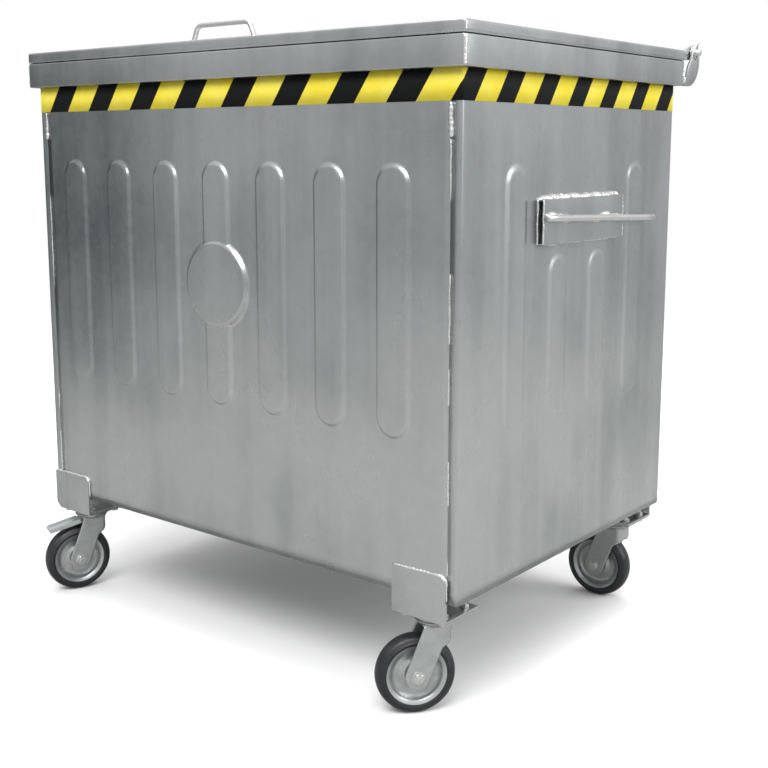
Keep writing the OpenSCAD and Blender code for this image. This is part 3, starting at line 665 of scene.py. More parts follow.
def finish_of(slot):
    """The material of a slot, made once."""
    made = bpy.data.materials.get("can_" + slot)
    if made:
        return made
    can = bpy.context.scene.waste_can
    makers = {
        "galvanised_sheet": lambda name: galvanised(can.finish, name),
        "zinc_bright": lambda name: bright_zinc(can.finish, name),
        "zinc_pressed": lambda name: pressed_zinc(can.finish, name),
        "wheel_zinc": lambda name: pressed_zinc(can.finish, name, 1.05, 0.3),
        "pedal_zinc": lambda name: pressed_zinc(can.finish, name, 1.25, 0.4),
        "warning_tape": lambda name: striped_tape(can.finish, can.band, name),
        "tyre_rubber": lambda name: rubber(can.finish, name),
        "weld": lambda name: bright_zinc(can.finish, name, 1.35, 0.26, 0.0009),
    }
    return makers[slot]("can_" + slot)


# ---- the body's pressed panels ----


def obround(x, z, middle, low, high, width, height, slope):
    """Height of a raised obround: with d the distance inside its outline, height times the S-curve of
    d / slope."""
    reach = np.maximum(np.maximum(low + width / 2 - z, z - (high - width / 2)), 0)
    inside = width / 2 - np.hypot(x - middle, reach)
    return height * smooth(inside / slope)


def rib_lines(middles, size, slope):
    """Where the grid needs fine steps across each rib: its two flanks, and a medium step between them."""
    flank = slope + 0.002
    half = size.rib_width / 2
    fine = [(m - half + flank, m + half - flank, 0.0045) for m in middles]
    fine += [(m - half - 0.002, m - half + flank, 0.0013) for m in middles]
    return fine + [(m + half - flank, m + half + 0.002, 0.0013) for m in middles]


def end_lines(low, high, size):
    """Where the grid needs fine steps along a rib: its two round ends."""
    half = size.rib_width / 2
    return [(low - 0.002, low + half, 0.0022), (high - half, high + 0.002, 0.0022)]


def slow_wave(u, v, size, seed):
    """Slow waves of thin sheet: three products of sines with random phases, fading to nothing at the
    edges."""
    phase = np.random.default_rng(seed).uniform(0, 2 * math.pi, (3, 2))
    wave = sum(np.sin(math.pi * (k + 1.3) * u + one) * np.sin(math.pi * (k + 0.9) * v + other) / (k + 1)
               for k, (one, other) in enumerate(phase))
    return size.wave * wave * smooth(4 * np.minimum(u, 1 - u)) * smooth(4 * np.minimum(v, 1 - v))


def rib_span(size):
    low = FLOOR_PANEL[0].z + size.rib_foot
    return low, TAPE[0].z - size.rib_head


def long_panel(name, size, sign, shift, disc):
    """The front or rear panel: y = face + sign (ribs + disc + slow waves) over a grid in x and z."""
    low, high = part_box(name)
    z0, z1 = rib_span(size)
    middles = [shift + (i - (size.rib_count - 1) / 2) * size.rib_pitch for i in range(size.rib_count)]
    disc_z = z1 - size.disc_drop
    x_fine, z_fine = rib_lines(middles, size, size.rib_slope), end_lines(z0, z1, size)
    if disc:
        reach = size.disc / 2 + 0.002
        z_fine.append((disc_z - reach, disc_z + reach, 0.0022))
        x_fine.append((shift - reach, shift + reach, 0.0022))
    columns, rows = spaced(low.x, high.x, 0.014, x_fine), spaced(low.z, high.z, 0.02, z_fine)
    x, z = np.meshgrid(columns, rows, indexing="ij")
    ribs = [obround(x, z, m, z0, z1, size.rib_width, size.rib_height, size.rib_slope) for m in middles]
    rise = np.max(ribs, 0)
    if disc:
        inside = size.disc / 2 - np.hypot(x - shift, z - disc_z)
        rise = np.maximum(rise, size.disc_height * smooth(inside / size.disc_slope))
    rise = rise + slow_wave((x - low.x) / (high.x - low.x), (z - low.z) / (high.z - low.z), size, 5 + disc)
    face = FLOOR_PANEL[1 if sign > 0 else 0].y + sign * size.sheet
    piece = sheet(name + "_pressed", np.stack([x, face + sign * rise, z], 2), (0, sign, 0), size.sheet,
                  finish_of("galvanised_sheet"))
    stands_for(piece, name)


def side_panel(name, size, sign):
    """A side panel with its two folds: the arc length s runs along a fold, round a quarter circle,
    along the side and round again, and the ribs push the side out along x."""
    low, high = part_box(name)
    face_x = FLOOR_PANEL[1].x + size.sheet
    half_y = (FLOOR_PANEL[1].y - FLOOR_PANEL[0].y) / 2 + size.sheet
    r, fold = size.corner, size.wrap - size.corner
    arc, run = math.pi * r / 2, 2 * (half_y - r)
    z0, z1 = rib_span(size)
    middles = np.array([-1.5, -0.5, 0.5, 1.5]) * size.side_pitch
    sleeve_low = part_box("lift_sleeve_right")[0].z
    offset = fold + arc + half_y - r
    fine = [(a + offset, b + offset, c) for a, b, c in rib_lines(middles, size, size.side_slope)]
    fine += [(fold, fold + arc, arc / 6), (fold + arc + run, fold + 2 * arc + run, arc / 6)]
    top = sleeve_low - size.side_gap
    z_lines = spaced(low.z, high.z, 0.02, end_lines(z0, z1, size) + end_lines(z0, top, size))
    s, z = np.meshgrid(spaced(0, 2 * (fold + arc) + run, 0.014, fine), z_lines, indexing="ij")
    mirror = s > offset
    t = np.where(mirror, 2 * offset - s, s)
    turn = np.clip((t - fold) / r, 0, math.pi / 2)
    x = face_x - r + r * np.sin(turn) - np.maximum(fold - t, 0)
    y = -half_y + r - r * np.cos(turn) + np.maximum(t - fold - arc, 0)
    y = np.where(mirror, -y, y)
    ribs = [obround(y, z, m, z0, end, size.rib_width, size.side_height, size.side_slope)
            for m, end in zip(middles, (z1, top, top, z1))]
    rise = np.max(ribs, 0)
    wave = slow_wave(np.clip((s - fold - arc) / run, 0, 1), (z - low.z) / (high.z - low.z), size, 8)
    x = x + np.where(turn >= math.pi / 2 - 1e-9, rise + wave, 0)
    piece = sheet(name + "_pressed", np.stack([sign * x, y + MID_Y, z], 2), (sign, 0, 0), size.sheet,
                  finish_of("galvanised_sheet"))
    stands_for(piece, name)


# ---- rim, lid and tape ----


def make_rim(top):
    """The rim collar: a folded channel's outline carried round the body as nested rounded rectangles."""
    low, high = RIM[0].z, RIM[1].z
    t, out, bend = top.rim_sheet, top.rim_out, top.rim_bend
    lip, edge, inner_bend, corner_radius = 0.002, 0.0008, 0.001, 0.005
    outline = rounded([
        (out, low), (0, low), (0, high), (out + lip, high), (out + lip, high - t), (t, high - t),
        (t, low + t), (out, low + t)
    ], [edge, bend, bend, edge, edge, inner_bend, inner_bend, edge])
    half_x, half_y = RIM[1].x, (RIM[1].y - RIM[0].y) / 2
    inset = outline[:, 0]
    corner = np.maximum(corner_radius - inset, 0.0006)
    grid = rings(half_x - inset, half_y - inset, corner, outline[:, 1], (0, MID_Y, 0), 5, (30, 22))
    piece = solid("rim_collar", [skin(grid, True, True)], finish_of("galvanised_sheet"))
    stands_for(piece, "rim_front", "rim_rear", "rim_left", "rim_right")


def make_lid(top):
    """The lid pan: nested rounded rectangles from the skirt's lower edge, up, over a quarter circle
    and in to the middle, where the sheet rises by crown times cos cos."""
    low, high = LID
    half_x, half_y = high.x, (high.y - low.y) / 2
    turn = np.linspace(0, math.pi / 2, 6)
    bend = top.lid_bend
    inward = np.linspace(0, 1, 26)[1:]
    inset = np.concatenate([[0, 0, 0], bend * (1 - np.cos(turn)), bend + (half_y - bend) * inward])
    z = np.concatenate([np.linspace(low.z, high.z - bend, 4)[:3], high.z - bend + bend * np.sin(turn),
                        np.full(25, high.z)])
    corner = np.maximum(top.lid_corner - inset, 0.0004)
    grid = rings(np.maximum(half_x - inset, 0), np.maximum(half_y - inset, 0.0),
                 np.minimum(corner, half_y - inset), z, (0, MID_Y, 0), 5, (36, 26))
    u, v = grid[:, :, 0] / half_x, (grid[:, :, 1] - MID_Y) / half_y
    rim_fade = 0.06
    flat = smooth((inset[:, None] - bend) / rim_fade)
    crown = np.cos(math.pi / 2 * u) * np.cos(math.pi / 2 * v)
    waves = 0.4 * np.sin(7 * u + 1) * np.sin(6 * v) * np.cos(math.pi / 2 * u) * np.cos(math.pi / 2 * v)
    grid[:, :, 2] += flat * top.lid_crown * (crown + waves)
    piece = new_object("lid_pan_folded", *skin(grid, False, True), finish_of("galvanised_sheet"))
    outward(piece, upward)
    thicken(piece, top.lid_sheet)
    stands_for(piece, "lid_pan")


def read(items, key, kind, width=1):
    """One value of every item of a mesh as an array, with a row of width numbers for each item."""
    values = np.zeros(len(items) * width, kind)
    items.foreach_get(key, values)
    return values.reshape(-1, width) if width > 1 else values


def make_tape(body, band):
    """The warning tape: a thin band round the body, with a UV map whose u counts stripes and whose v
    is the height."""
    low, high = TAPE
    half_x, half_y = high.x, (high.y - low.y) / 2
    edges = (np.full(2, value) for value in (half_x, half_y, body.corner))
    grid = rings(*edges, (low.z, high.z), (0, MID_Y, 0), 6, (30, 22))
    piece = sheet("warning_tape_band", grid, None, 0.0003, finish_of("warning_tape"), True)
    outward(piece, away_from((0, MID_Y, 0)))
    mesh = piece.data
    corners = read(mesh.loops, "vertex_index", np.int32)
    where = read(mesh.vertices, "co", np.float32, 3)[corners].astype(float)
    count = read(mesh.polygons, "loop_total", np.int32)
    normal = np.repeat(read(mesh.polygons, "normal", np.float32, 3), count, 0)
    uv = mesh.uv_layers.new(name="stripes")
    place = stripe_place(where, normal, half_x, half_y, band)
    uv.data.foreach_set("uv", place.astype(np.float32).ravel())
    stands_for(piece, "warning_tape")


def stripe_place(where, normal, half_x, half_y, band):
    """u = (distance round the band - start - lean times height) / pitch, counted from the front left
    corner, with the side's own pitch along the sides; v is the height above the tape's lower edge."""
    x, y, up = where[:, 0], where[:, 1] - MID_Y, where[:, 2] - TAPE[0].z
    front, right = (2 * half_x) / band.pitch, (2 * half_y) / band.side_pitch
    start = band.start / band.pitch
    lean = band.lean * up
    side = np.argmax(np.stack([-normal[:, 1], normal[:, 0], normal[:, 1], -normal[:, 0]]), 0)
    u = np.choose(side, [
        (x + half_x - lean) / band.pitch,
        front + (y + half_y - lean) / band.side_pitch,
        front + right + (half_x - x - lean) / band.pitch,
        2 * front + right + (half_y - y - lean) / band.side_pitch,
    ])
    return np.stack([u - start, up], 1)


# ---- lid handle and hinge ----


def make_handle(top):
    """The lid's handle: a round bar along a bow with rounded upper bends, and a weld round each foot."""
    low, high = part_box("lid_handle")
    r = top.handle / 2
    y, z1 = (low.y + high.y) / 2, high.z - r
    foot = high.x - r
    half_top, cut = top.handle_top / 2, top.handle_bend
    corner = np.array([half_top, z1])
    end_z = low.z + 0.0003
    down = np.array([foot - half_top, end_z - z1])
    down /= np.linalg.norm(down)
    t = np.linspace(0, 1, 8)[:, None]
    start, end = corner - (cut, 0), corner + down * cut
    arc = start * (1 - t) ** 2 + 2 * corner * t * (1 - t) + end * t ** 2
    half = np.concatenate([arc, [[foot, end_z]]])
    path = np.concatenate([half[::-1], half * (-1, 1)])
    bow = np.stack([path[:, 0], np.full(len(path), y), path[:, 1]], 1)
    piece = solid("lid_handle_bar", [rod(bow, r, 20)], finish_of("zinc_bright"), 50)
    stands_for(piece, "lid_handle")
    a = np.linspace(0, 2 * math.pi, 40)
    ring = np.stack([1.05 * r * np.cos(a), y + 1.05 * r * np.sin(a), low.z + 0.0012 + 0 * a], 1)
    beads = [weld("handle", ring + (s * foot, 0, 0), (0, 0, 1), 40 + s) for s in (-1, 1)]
    welded("lid_handle_welds", beads, "lid", 35)


def make_hinge():
    """The hinge: rounded lugs and ears, the rod with chamfered ends, washers and split pins."""
    metal = finish_of("galvanised_sheet")
    for side in ("left", "right"):
        softened("hinge_lug_" + side, metal, 0.0008)
        softened("lid_ear_" + side, metal, 0.0008)
        softened("lid_stiffener_" + side, metal, 0.0006)
    low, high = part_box("hinge_rod")
    y, z, r = (low.y + high.y) / 2, (low.z + high.z) / 2, (high.z - low.z) / 2
    bar = rod(np.linspace((low.x, y, z), (high.x, y, z), 12), r, 32, 0.0015)
    stands_for(solid("hinge_rod_bar", [bar], finish_of("zinc_bright"), 50), "hinge_rod")
    softened("rod_washers", finish_of("zinc_bright"), 0.0003)
    softened("split_pins", finish_of("zinc_bright"), 0.0003)


# ---- lifting sleeves and caster brackets ----


def make_sleeves():
    """The lifting sleeves with rounded edges, and the bars welded on them with chamfered ends."""
    for side in ("left", "right"):
        softened("lift_sleeve_" + side, finish_of("galvanised_sheet"), 0.0012, 3)
        low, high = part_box("lift_bar_" + side)
        r, x = (high.x - low.x) / 2, (low.x + high.x) / 2
        bar = rod(np.linspace((x, low.y, high.z - r), (x, high.y, low.z + r), 12), r, 32, 0.0012)
        piece = solid("lift_bar_" + side + "_round", [bar], finish_of("zinc_bright"), 50)
        stands_for(piece, "lift_bar_" + side)


def make_brackets():
    for place in CASTERS.values():
        softened("bracket_" + place, finish_of("galvanised_sheet"), 0.0011, 3)


# ---- welds ----


def bracket_weld(place):
    """The bead round a bracket's plate: along its top, round its upper corner and down to the body's
    edge."""
    low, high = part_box("bracket_" + place)
    rear = int("rear" in place)
    sign = 2 * rear - 1
    wall, r = 0.002, 0.014
    turn = np.linspace(math.pi / 2, 0, 8)
    x = np.concatenate([[low.x + 0.002], high.x - r + r * np.cos(turn), [high.x]])
    z = np.concatenate([[high.z], high.z - r + r * np.sin(turn), [FLOOR_PANEL[0].z + 0.004]])
    y = np.full(len(x), FLOOR_PANEL[rear].y + sign * wall + sign * 0.0018)
    return np.stack([x, y, z + 0.0005], 1), (0, sign * 0.8, 0.35)


def make_welds(body):
    """Every weld on the body: the seams beside the folds, the rim's corners, the sleeves, bars and
    brackets."""
    face_y = (FLOOR_PANEL[0].y - body.sheet, FLOOR_PANEL[1].y + body.sheet)
    seam_x = FLOOR_PANEL[1].x + body.sheet - body.wrap
    seam_low, seam_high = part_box("bracket_front_left")[1].z + 0.003, TAPE[0].z - 0.001
    beads = []
    for k, (sx, sy) in enumerate(CORNERS):
        x, y, out = sx * seam_x, face_y[sy], (0, 2 * sy - 1, 0)
        beads.append(weld("seam", [(x, y, seam_low), (x, y, seam_high)], out, 60 + 10 * k))
        beads.append(weld("seam_end", [(x, y, seam_high - 0.055), (x, y, seam_high)], out, 63 + 10 * k))
    inset = 0.0022
    for k, (sx, sy) in enumerate(CORNERS):
        x, y = sx * (RIM[1].x - inset), RIM[sy].y + inset * (1 - 2 * sy)
        path = [(x, y, RIM[0].z + 0.002), (x, y, RIM[1].z - 0.002)]
        beads.append(weld("rim_corner", path, (sx, 2 * sy - 1, 0), 110 + 10 * k))
    welded("body_welds", beads)

    beads = []
    for k, (side, sx) in enumerate((("left", -1), ("right", 1))):
        beads += sleeve_beads(side, sx, sx * (FLOOR_PANEL[1].x + body.sheet), k)
    welded("sleeve_welds", beads)

    welded("bracket_welds", [weld("bracket", *bracket_weld(place), 300 + 10 * k)
                             for k, place in enumerate(CASTERS.values())])

    beads = []
    for k, side in enumerate(("left", "right")):
        for x in (corner.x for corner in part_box("hinge_lug_" + side)):
            path = [(x, RIM[1].y, RIM[0].z + 0.004), (x, RIM[1].y, RIM[0].z + 0.018)]
            beads.append(weld("lug", path, (0, 1, 0), 340 + 10 * k))
    welded("lug_welds", beads)


def sleeve_beads(side, sx, wall, k):
    """The beads of one sleeve: along its top and bottom, down its two ends, along the bar and two
    tacks on top."""
    low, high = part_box("lift_sleeve_" + side)
    outer = high.x if sx > 0 else low.x
    beads = [
        weld("sleeve_top", [(wall, low.y, high.z), (wall, high.y, high.z)], (0.8 * sx, 0, 1), 200 + k),
        weld("sleeve_under", [(wall, low.y, low.z), (wall, high.y, low.z)], (0.5 * sx, 0, -1), 210 + k),
    ]
    lip_x = outer - sx * 0.0015
    for y, way in ((low.y, -1), (high.y, 1)):
        beads.append(weld("sleeve_root", [(wall, y, high.z), (wall, y, low.z)], (sx, way, 0), 215 + k))
        lip = [(lip_x, y, high.z - 0.001), (lip_x, y, low.z + 0.001)]
        beads.append(weld("sleeve_lip", lip, (0, way, 0), 220 + k))
    bar_low, bar_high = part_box("lift_bar_" + side)
    r = (bar_high.x - bar_low.x) / 2
    slope = (bar_low.z + r - (bar_high.z - r)) / (bar_high.y - bar_low.y)
    ends = np.array([bar_low.y + 0.004, high.y - 0.002])
    middle = bar_high.z - r + slope * (ends - bar_low.y)
    for rise, seed in ((0.75 * r, 230), (-0.75 * r, 240)):
        path = np.stack([np.full(2, outer), ends, middle + rise], 1)
        beads.append(weld("bar", path, (sx, 0, rise * 60), seed + k))
    tack = 0.026
    for share, seed in ((0.05, 250), (0.72, 260)):
        y = low.y + share * (high.y - low.y)
        z = bar_high.z - r + slope * (y - bar_low.y) + 0.8 * r
        path = [(outer, y, z), (outer, y + tack, z + slope * tack)]
        beads.append(weld("bar_tack", path, (sx, 0, 0.8), seed + k))
    return beads


# ---- casters ----


def caster_place(key):
    """Swivel centre, axle centre, unit heading from one to the other, trail and the wheel's own axis."""
    swivel = np.array(JOINTS[CASTERS[key] + "_swivel"]["pos_m"], float)
    axle = np.array(JOINTS[CASTERS[key] + "_wheel_spin"]["pos_m"], float)
    heading = np.array([axle[0] - swivel[0], axle[1] - swivel[1], 0.0])
    trail = np.linalg.norm(heading)
    heading /= trail
    return swivel, axle, heading, trail, np.cross((0, 0, 1), heading)


def from_caster(points, key):
    """Points drawn with the swivel axis at the origin and the trail along +X, put in the caster's place."""
    swivel, _, heading, _, side = caster_place(key)
    x, y, z = (points[..., k, None] for k in range(3))
    return swivel * (1, 1, 0) + x * heading + y * side + z * (0, 0, 1)


def tangent_edge(z, top, centre, radius, sign):
    """x of a straight edge from the point top that meets the hub's circle at a tangent, and of the
    circle below it."""
    gap = np.array(centre) - top
    reach = np.linalg.norm(gap)
    angle = math.atan2(gap[1], gap[0]) + sign * math.asin(radius / reach)
    run = math.sqrt(reach ** 2 - radius ** 2)
    touch = np.array(top) + run * np.array([math.cos(angle), math.sin(angle)])
    line = top[0] + (z - top[1]) * (touch[0] - top[0]) / (touch[1] - top[1])
    circle = centre[0] + sign * np.sqrt(np.clip(radius ** 2 - (z - centre[1]) ** 2, 0, None))
    return np.where(z >= touch[1], line, circle)


def make_fork(key, size):
    """A pressed fork. Each half is a surface over (s, z): s runs from the leg's rear edge forward,
    round a bend and across the front web to the middle, and the part past the leg fades out below the
    web."""
    axle, _, trail, _ = caster_place(key)[1:]
    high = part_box("fork_" + key)[1]
    radius, bend, t = size.fork_leg / 2, size.fork_bend, size.fork_sheet
    crown = high.z - 0.010
    top = crown + 0.0015
    half = size.fork_in + t / 2
    hub = (trail, axle[2])
    below = axle[2] - radius * np.sin(np.linspace(0, 1.5, 14)[1:])
    z = np.concatenate([spaced(axle[2], top, 0.004)[::-1], below])
    rear = tangent_edge(z, (radius + 0.002, top), hub, radius, 1)
    fade = smooth((z - (crown - 0.036)) / 0.014)
    front = tangent_edge(z, (-radius, top), hub, radius, -1)
    front = front + (-radius - front) * fade
    flat_end = front + bend * fade
    curl = fade * (math.pi / 2 * bend + half - bend)
    share = np.linspace(0, 1, 15)
    flat_x = rear[:, None] + (flat_end - rear)[:, None] * share
    flat = np.stack([flat_x, np.full_like(flat_x, half), np.broadcast_to(z[:, None], flat_x.shape)], 2)
    c = curl[:, None] * np.linspace(0, 1, 20)[1:]
    turn = np.minimum(c / bend, math.pi / 2)
    curl_x = flat_end[:, None] - bend * np.sin(turn)
    curl_y = half - bend * (1 - np.cos(turn)) - np.maximum(c - math.pi / 2 * bend, 0)
    curled = np.stack([curl_x, curl_y, np.broadcast_to(z[:, None], curl_x.shape)], 2)
    leg = np.concatenate([flat, curled], 1)
    name = "fork_" + key
    halves = [skin(from_caster(leg * (1, sign, 1), key)) for sign in (-1, 1)]
    piece = solid(name + "_pressed", halves, finish_of("zinc_pressed"))
    outward(piece, away_from(from_caster(np.array([0.03, 0.0, 0.12]), key)), 1e-5)
    thicken(piece, t, 0.0)
    piece.modifiers["sheet"].use_even_offset = False
    stands_for(piece, name)
    make_crown(key, crown, half + t / 2, radius, high.z)


def make_crown(key, crown, half, radius, top):
    """The fork's top plate with rounded edges, and the turned race above it."""
    swivel = caster_place(key)[0]
    corner, edge, low, high = 0.007, 0.0018, crown - 0.0005, crown + 0.0042
    plate = slab(radius + 0.003, half + 0.0012, corner, low, high, edge, (0.001, 0, 0))
    plate = (from_caster(plate[0], key), plate[1])
    race = [(0.0, crown), (0.029, crown), (0.0305, crown + 0.001), (0.0335, top - 0.0045),
            (0.0355, top - 0.003), (0.0358, top - 0.001), (0.0345, top), (0.0, top)]
    centre = (swivel[0], swivel[1], 0)
    skins = [plate, turned(race, centre, (0, 0, 1), 72)]
    piece = solid("fork_crown_" + key, skins, finish_of("zinc_pressed"), 30)
    added(piece, BODY_OF["fork_" + key])


def make_axle(key, size):
    """The axle bolt: a shaft with a domed end, a washer against each leg and a chamfered hexagon on
    each."""
    _, axle, _, _, side = caster_place(key)
    r = size.axle / 2
    out = size.fork_in + size.fork_sheet
    low, high, chamfer = -out - 0.0105, out + 0.002, 0.0015
    shaft = [(0, low), (r - chamfer, low), (r, low + chamfer), (r, high), (0, high)]
    skins = [turned(shaft, axle, side, 32)]
    washer_r, washer_out = 1.95 * r, out + 0.0016
    for sign in (-1, 1):
        washer = rounded([(r, out), (washer_r, out), (washer_r, washer_out), (r, washer_out)], 0.0003, 2)
        skins.append(turned(washer * (1, sign), axle, side, 40, True))
        skins.append(hexagon(3.3 * r, out + 0.001, out + 0.0072, axle, sign * side, 0.3))
    cap = [(0, out + 0.0085), (0.55 * r, out + 0.0083), (0.8 * r, out + 0.0078), (0.85 * r, out + 0.006)]
    skins.append(turned([*cap, (0, out + 0.006)], axle, side, 24))
    piece = solid("axle_" + key + "_bolt", skins, finish_of("zinc_bright"), 30)
    stands_for(piece, "axle_" + key)


def make_wheel(key, size):
    """A wheel: the pressed rim and the tyre, each a rounded outline turned about the axle, and a
    turned hub."""
    _, axle, _, _, side = caster_place(key)
    low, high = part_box("tyre_" + key)
    outer = (high.z - low.z) / 2
    half = size.width / 2
    rim, flange = size.rim_share * outer, size.rim_flange
    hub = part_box("wheel_hub_" + key)
    hub_r = (hub[1].z - hub[0].z) / 2
    w = half - 0.003
    outline = np.array([
        (hub_r, -0.0075), (hub_r + 0.006, -0.0085), (hub_r + 0.014, -0.0045), (rim - 0.012, -0.004),
        (rim - 0.007, -0.0075), (rim - 0.0045, -w + 0.003), (rim + flange, -w - 0.0015),
        (rim + flange, -w + 0.001), (rim, -w + 0.004)
    ])
    outline = np.concatenate([outline, outline[::-1] * (1, -1)])
    cut = [0.0005, 0.002, 0.003, 0.002, 0.002, 0.002, 0.0006, 0.0006, 0.0008]
    skins = [turned(rounded(outline, cut + cut[::-1]), axle, side, 96, True)]
    piece = solid("wheel_rim_" + key + "_pressed", skins, finish_of("wheel_zinc"), 40)
    stands_for(piece, "wheel_rim_" + key)

    shoulder = outer - 0.010
    seat = rim + flange
    profile = np.array([
        (seat - 0.0012, half - 0.0012), (seat + 0.0035, half + 0.0002), (seat + 0.0045, half - 0.0008),
        (shoulder - 0.001, half - 0.0004), (shoulder + 0.007, half - 0.005),
        (outer - 0.0006, half - 0.0115), (outer, 0.003), (outer + 0.0001, 0.0004)
    ])
    profile = np.concatenate([profile, profile[::-1] * (1, -1), [(rim, -w + 0.003), (rim, w - 0.003)]])
    cut = [0.0006, 0.0008, 0.0008, 0.004, 0.003, 0.003, 0.0008, 0.0002]
    outline = rounded(profile, cut + cut[::-1] + [0.001, 0.001], 5)
    skins = [turned(outline, axle, side, 120, True)]
    stands_for(solid("tyre_" + key + "_moulded", skins, finish_of("tyre_rubber"), 60), "tyre_" + key)

    bore, reach = size.axle / 2 + 0.0002, size.fork_in - 0.0005
    barrel = rounded([(bore, -reach), (hub_r, -reach), (hub_r, reach), (bore, reach)], 0.0008, 3)
    skins = [turned(barrel, axle, side, 48, True)]
    stands_for(solid("wheel_hub_" + key + "_barrel", skins, finish_of("zinc_pressed")), "wheel_hub_" + key)


def make_bolts(size):
    """The bolts under the caster plates and the nuts on the brackets: chamfered hexagons, washers and
    thread ends."""
    heads, nuts = [], []
    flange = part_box("bracket_front_left")[0].z + 0.005
    plate_low = flange - 0.009
    head, across_corners, r = 0.0055, 2 * size.bolt, size.bolt / 2
    washer, shank_low, thread = flange + 0.0014, plate_low - 0.001, flange + 0.0105
    for key in CASTERS:
        swivel = caster_place(key)[0]
        for k, (sx, sy) in enumerate([(-1, -1), (1, -1), (1, 1), (-1, 1)]):
            hole = (sx * size.hole_length / 2, sy * size.hole_width / 2)
            centre = np.array([swivel[0] + hole[0], swivel[1] + hole[1], 0])
            turn = 0.7 * k + 1.3 * swivel[0]
            heads.append(hexagon(across_corners, plate_low - head, plate_low, centre, turn=turn))
            shank = [(0, shank_low), (r, shank_low), (r, flange + 0.0090), (0.75 * r, thread), (0, thread)]
            heads.append(turned(shank, centre, (0, 0, 1), 20))
            ring = rounded([(r, flange), (2.1 * r, flange), (2.1 * r, washer), (r, washer)], 0.0003, 2)
            nuts.append(turned(ring, centre, (0, 0, 1), 28, True))
            nuts.append(hexagon(across_corners, flange + 0.001, flange + 0.0065, centre, turn=turn + 0.4))
    stands_for(solid("plate_bolts_hex", heads, finish_of("zinc_bright"), 30), "plate_bolts")
    stands_for(solid("plate_nuts_hex", nuts, finish_of("zinc_bright"), 30), "plate_nuts")


def make_casters(size):
    for key in CASTERS:
        softened("caster_plate_" + key, finish_of("zinc_pressed"), 0.0009, 3)
        make_fork(key, size)
        make_axle(key, size)
        make_wheel(key, size)
    for key in PEDALS:
        softened("brake_pedal_" + key, finish_of("pedal_zinc"), 0.0009, 3)


# ---- stage ----


def make_stage(stage):
    """A pale floor, soft light from large areas and a plain world, and the camera."""
    scene = bpy.context.scene
    scene.view_settings.view_transform = "Standard"
    a, e = stage.azimuth, stage.elevation
    back = Vector((math.sin(a) * math.cos(e), -math.cos(a) * math.cos(e), math.sin(e)))
    camera = bpy.data.objects.new("camera", bpy.data.cameras.new("camera"))
    scene.collection.objects.link(camera)
    camera.location = Vector((stage.target_x, MID_Y, stage.target_z)) + back * stage.distance
    camera.rotation_euler = (-back).to_track_quat("-Z", "Y").to_euler()
    camera.data.lens = stage.lens
    camera.data.sensor_width = 36
    camera.data.shift_y = stage.shift
    camera.data.clip_end = 200
    scene.camera = camera

    angle = np.linspace(0, 2 * math.pi, 96, endpoint=False)
    radius = np.array([0.0, 1.5, 3.0, 4.4])[:, None]
    grid = np.stack([radius * np.cos(angle), radius * np.sin(angle), np.zeros((4, 96))], 2)
    material, tree, shader, place = new_material("studio_floor", Roughness=0.9, Specular_IOR_Level=0.1)
    soft = noise(tree, place, 1.5, 2)
    tone = blend(tree, soft, (0.90, 0.90, 0.90), (0.93, 0.93, 0.93))
    seen = tree.nodes.new("ShaderNodeLightPath").outputs["Is Camera Ray"]
    tree.links.new(blend(tree, seen, (0.42, 0.42, 0.41), tone), shader.inputs["Base Color"])
    floor = new_object("studio_floor", *skin(grid, False, True), material)
    outward(floor, upward)

    for name, place, aim, size, power in (
            ("key_light", (1.5, -3.2, 4.2), (0, 0, 0.4), (3.2, 2.4), 190),
            ("side_light", (4.5, 1.5, 2.6), (0.3, 0, 0.5), (3.0, 2.4), 110),
            ("top_light", (-0.5, 0.5, 5.0), (0, 0, 0), (4.0, 4.0), 150)):
        lamp = bpy.data.lights.new(name, "AREA")
        lamp.shape = "RECTANGLE"
        lamp.size, lamp.size_y = size
        lamp.energy = power
        light = bpy.data.objects.new(name, lamp)
        light.location = place
        light.rotation_euler = (Vector(aim) - Vector(place)).to_track_quat("-Z", "Y").to_euler()
        scene.collection.objects.link(light)

    world = bpy.data.worlds.new("studio")
    world.use_nodes = True
    tree = world.node_tree
    tree.nodes.clear()
    way = tree.nodes.new("ShaderNodeTexCoord").outputs["Generated"]
    height = node(tree, "ShaderNodeSeparateXYZ", {"Vector": way}).outputs["Z"]
    sky = blend(tree, remap(tree, height, -0.1, 0.5), (0.62, 0.63, 0.63), (1.0, 1.0, 1.0))
    toward = node(tree, "ShaderNodeVectorMath", {0: way, 1: (-0.95, 0.30, 0.0)}, operation="DOT_PRODUCT")
    shade = maths(tree, "MULTIPLY", remap(tree, toward.outputs["Value"], 0.42, 0.86, 0.0, 0.97),
                  remap(tree, height, 0.12, 0.42, 1.0, 0.0))
    sky = blend(tree, shade, sky, (0.03, 0.035, 0.036))
    seen = tree.nodes.new("ShaderNodeLightPath").outputs["Is Camera Ray"]
    lit = node(tree, "ShaderNodeBackground", {"Color": sky, "Strength": 0.85})
    plain = node(tree, "ShaderNodeBackground", {"Color": (1, 1, 1, 1), "Strength": 1.0})
    mixed = node(tree, "ShaderNodeMixShader", {0: seen, 1: lit.outputs[0], 2: plain.outputs[0]})
    out = tree.nodes.new("ShaderNodeOutputWorld")
    tree.links.new(mixed.outputs[0], out.inputs["Surface"])
    scene.world = world


# ---- operators ----


class PieceOperator:
    bl_options = {"REGISTER", "UNDO"}

    def execute(self, context):
        self.make(context.scene.waste_can)
        return {"FINISHED"}


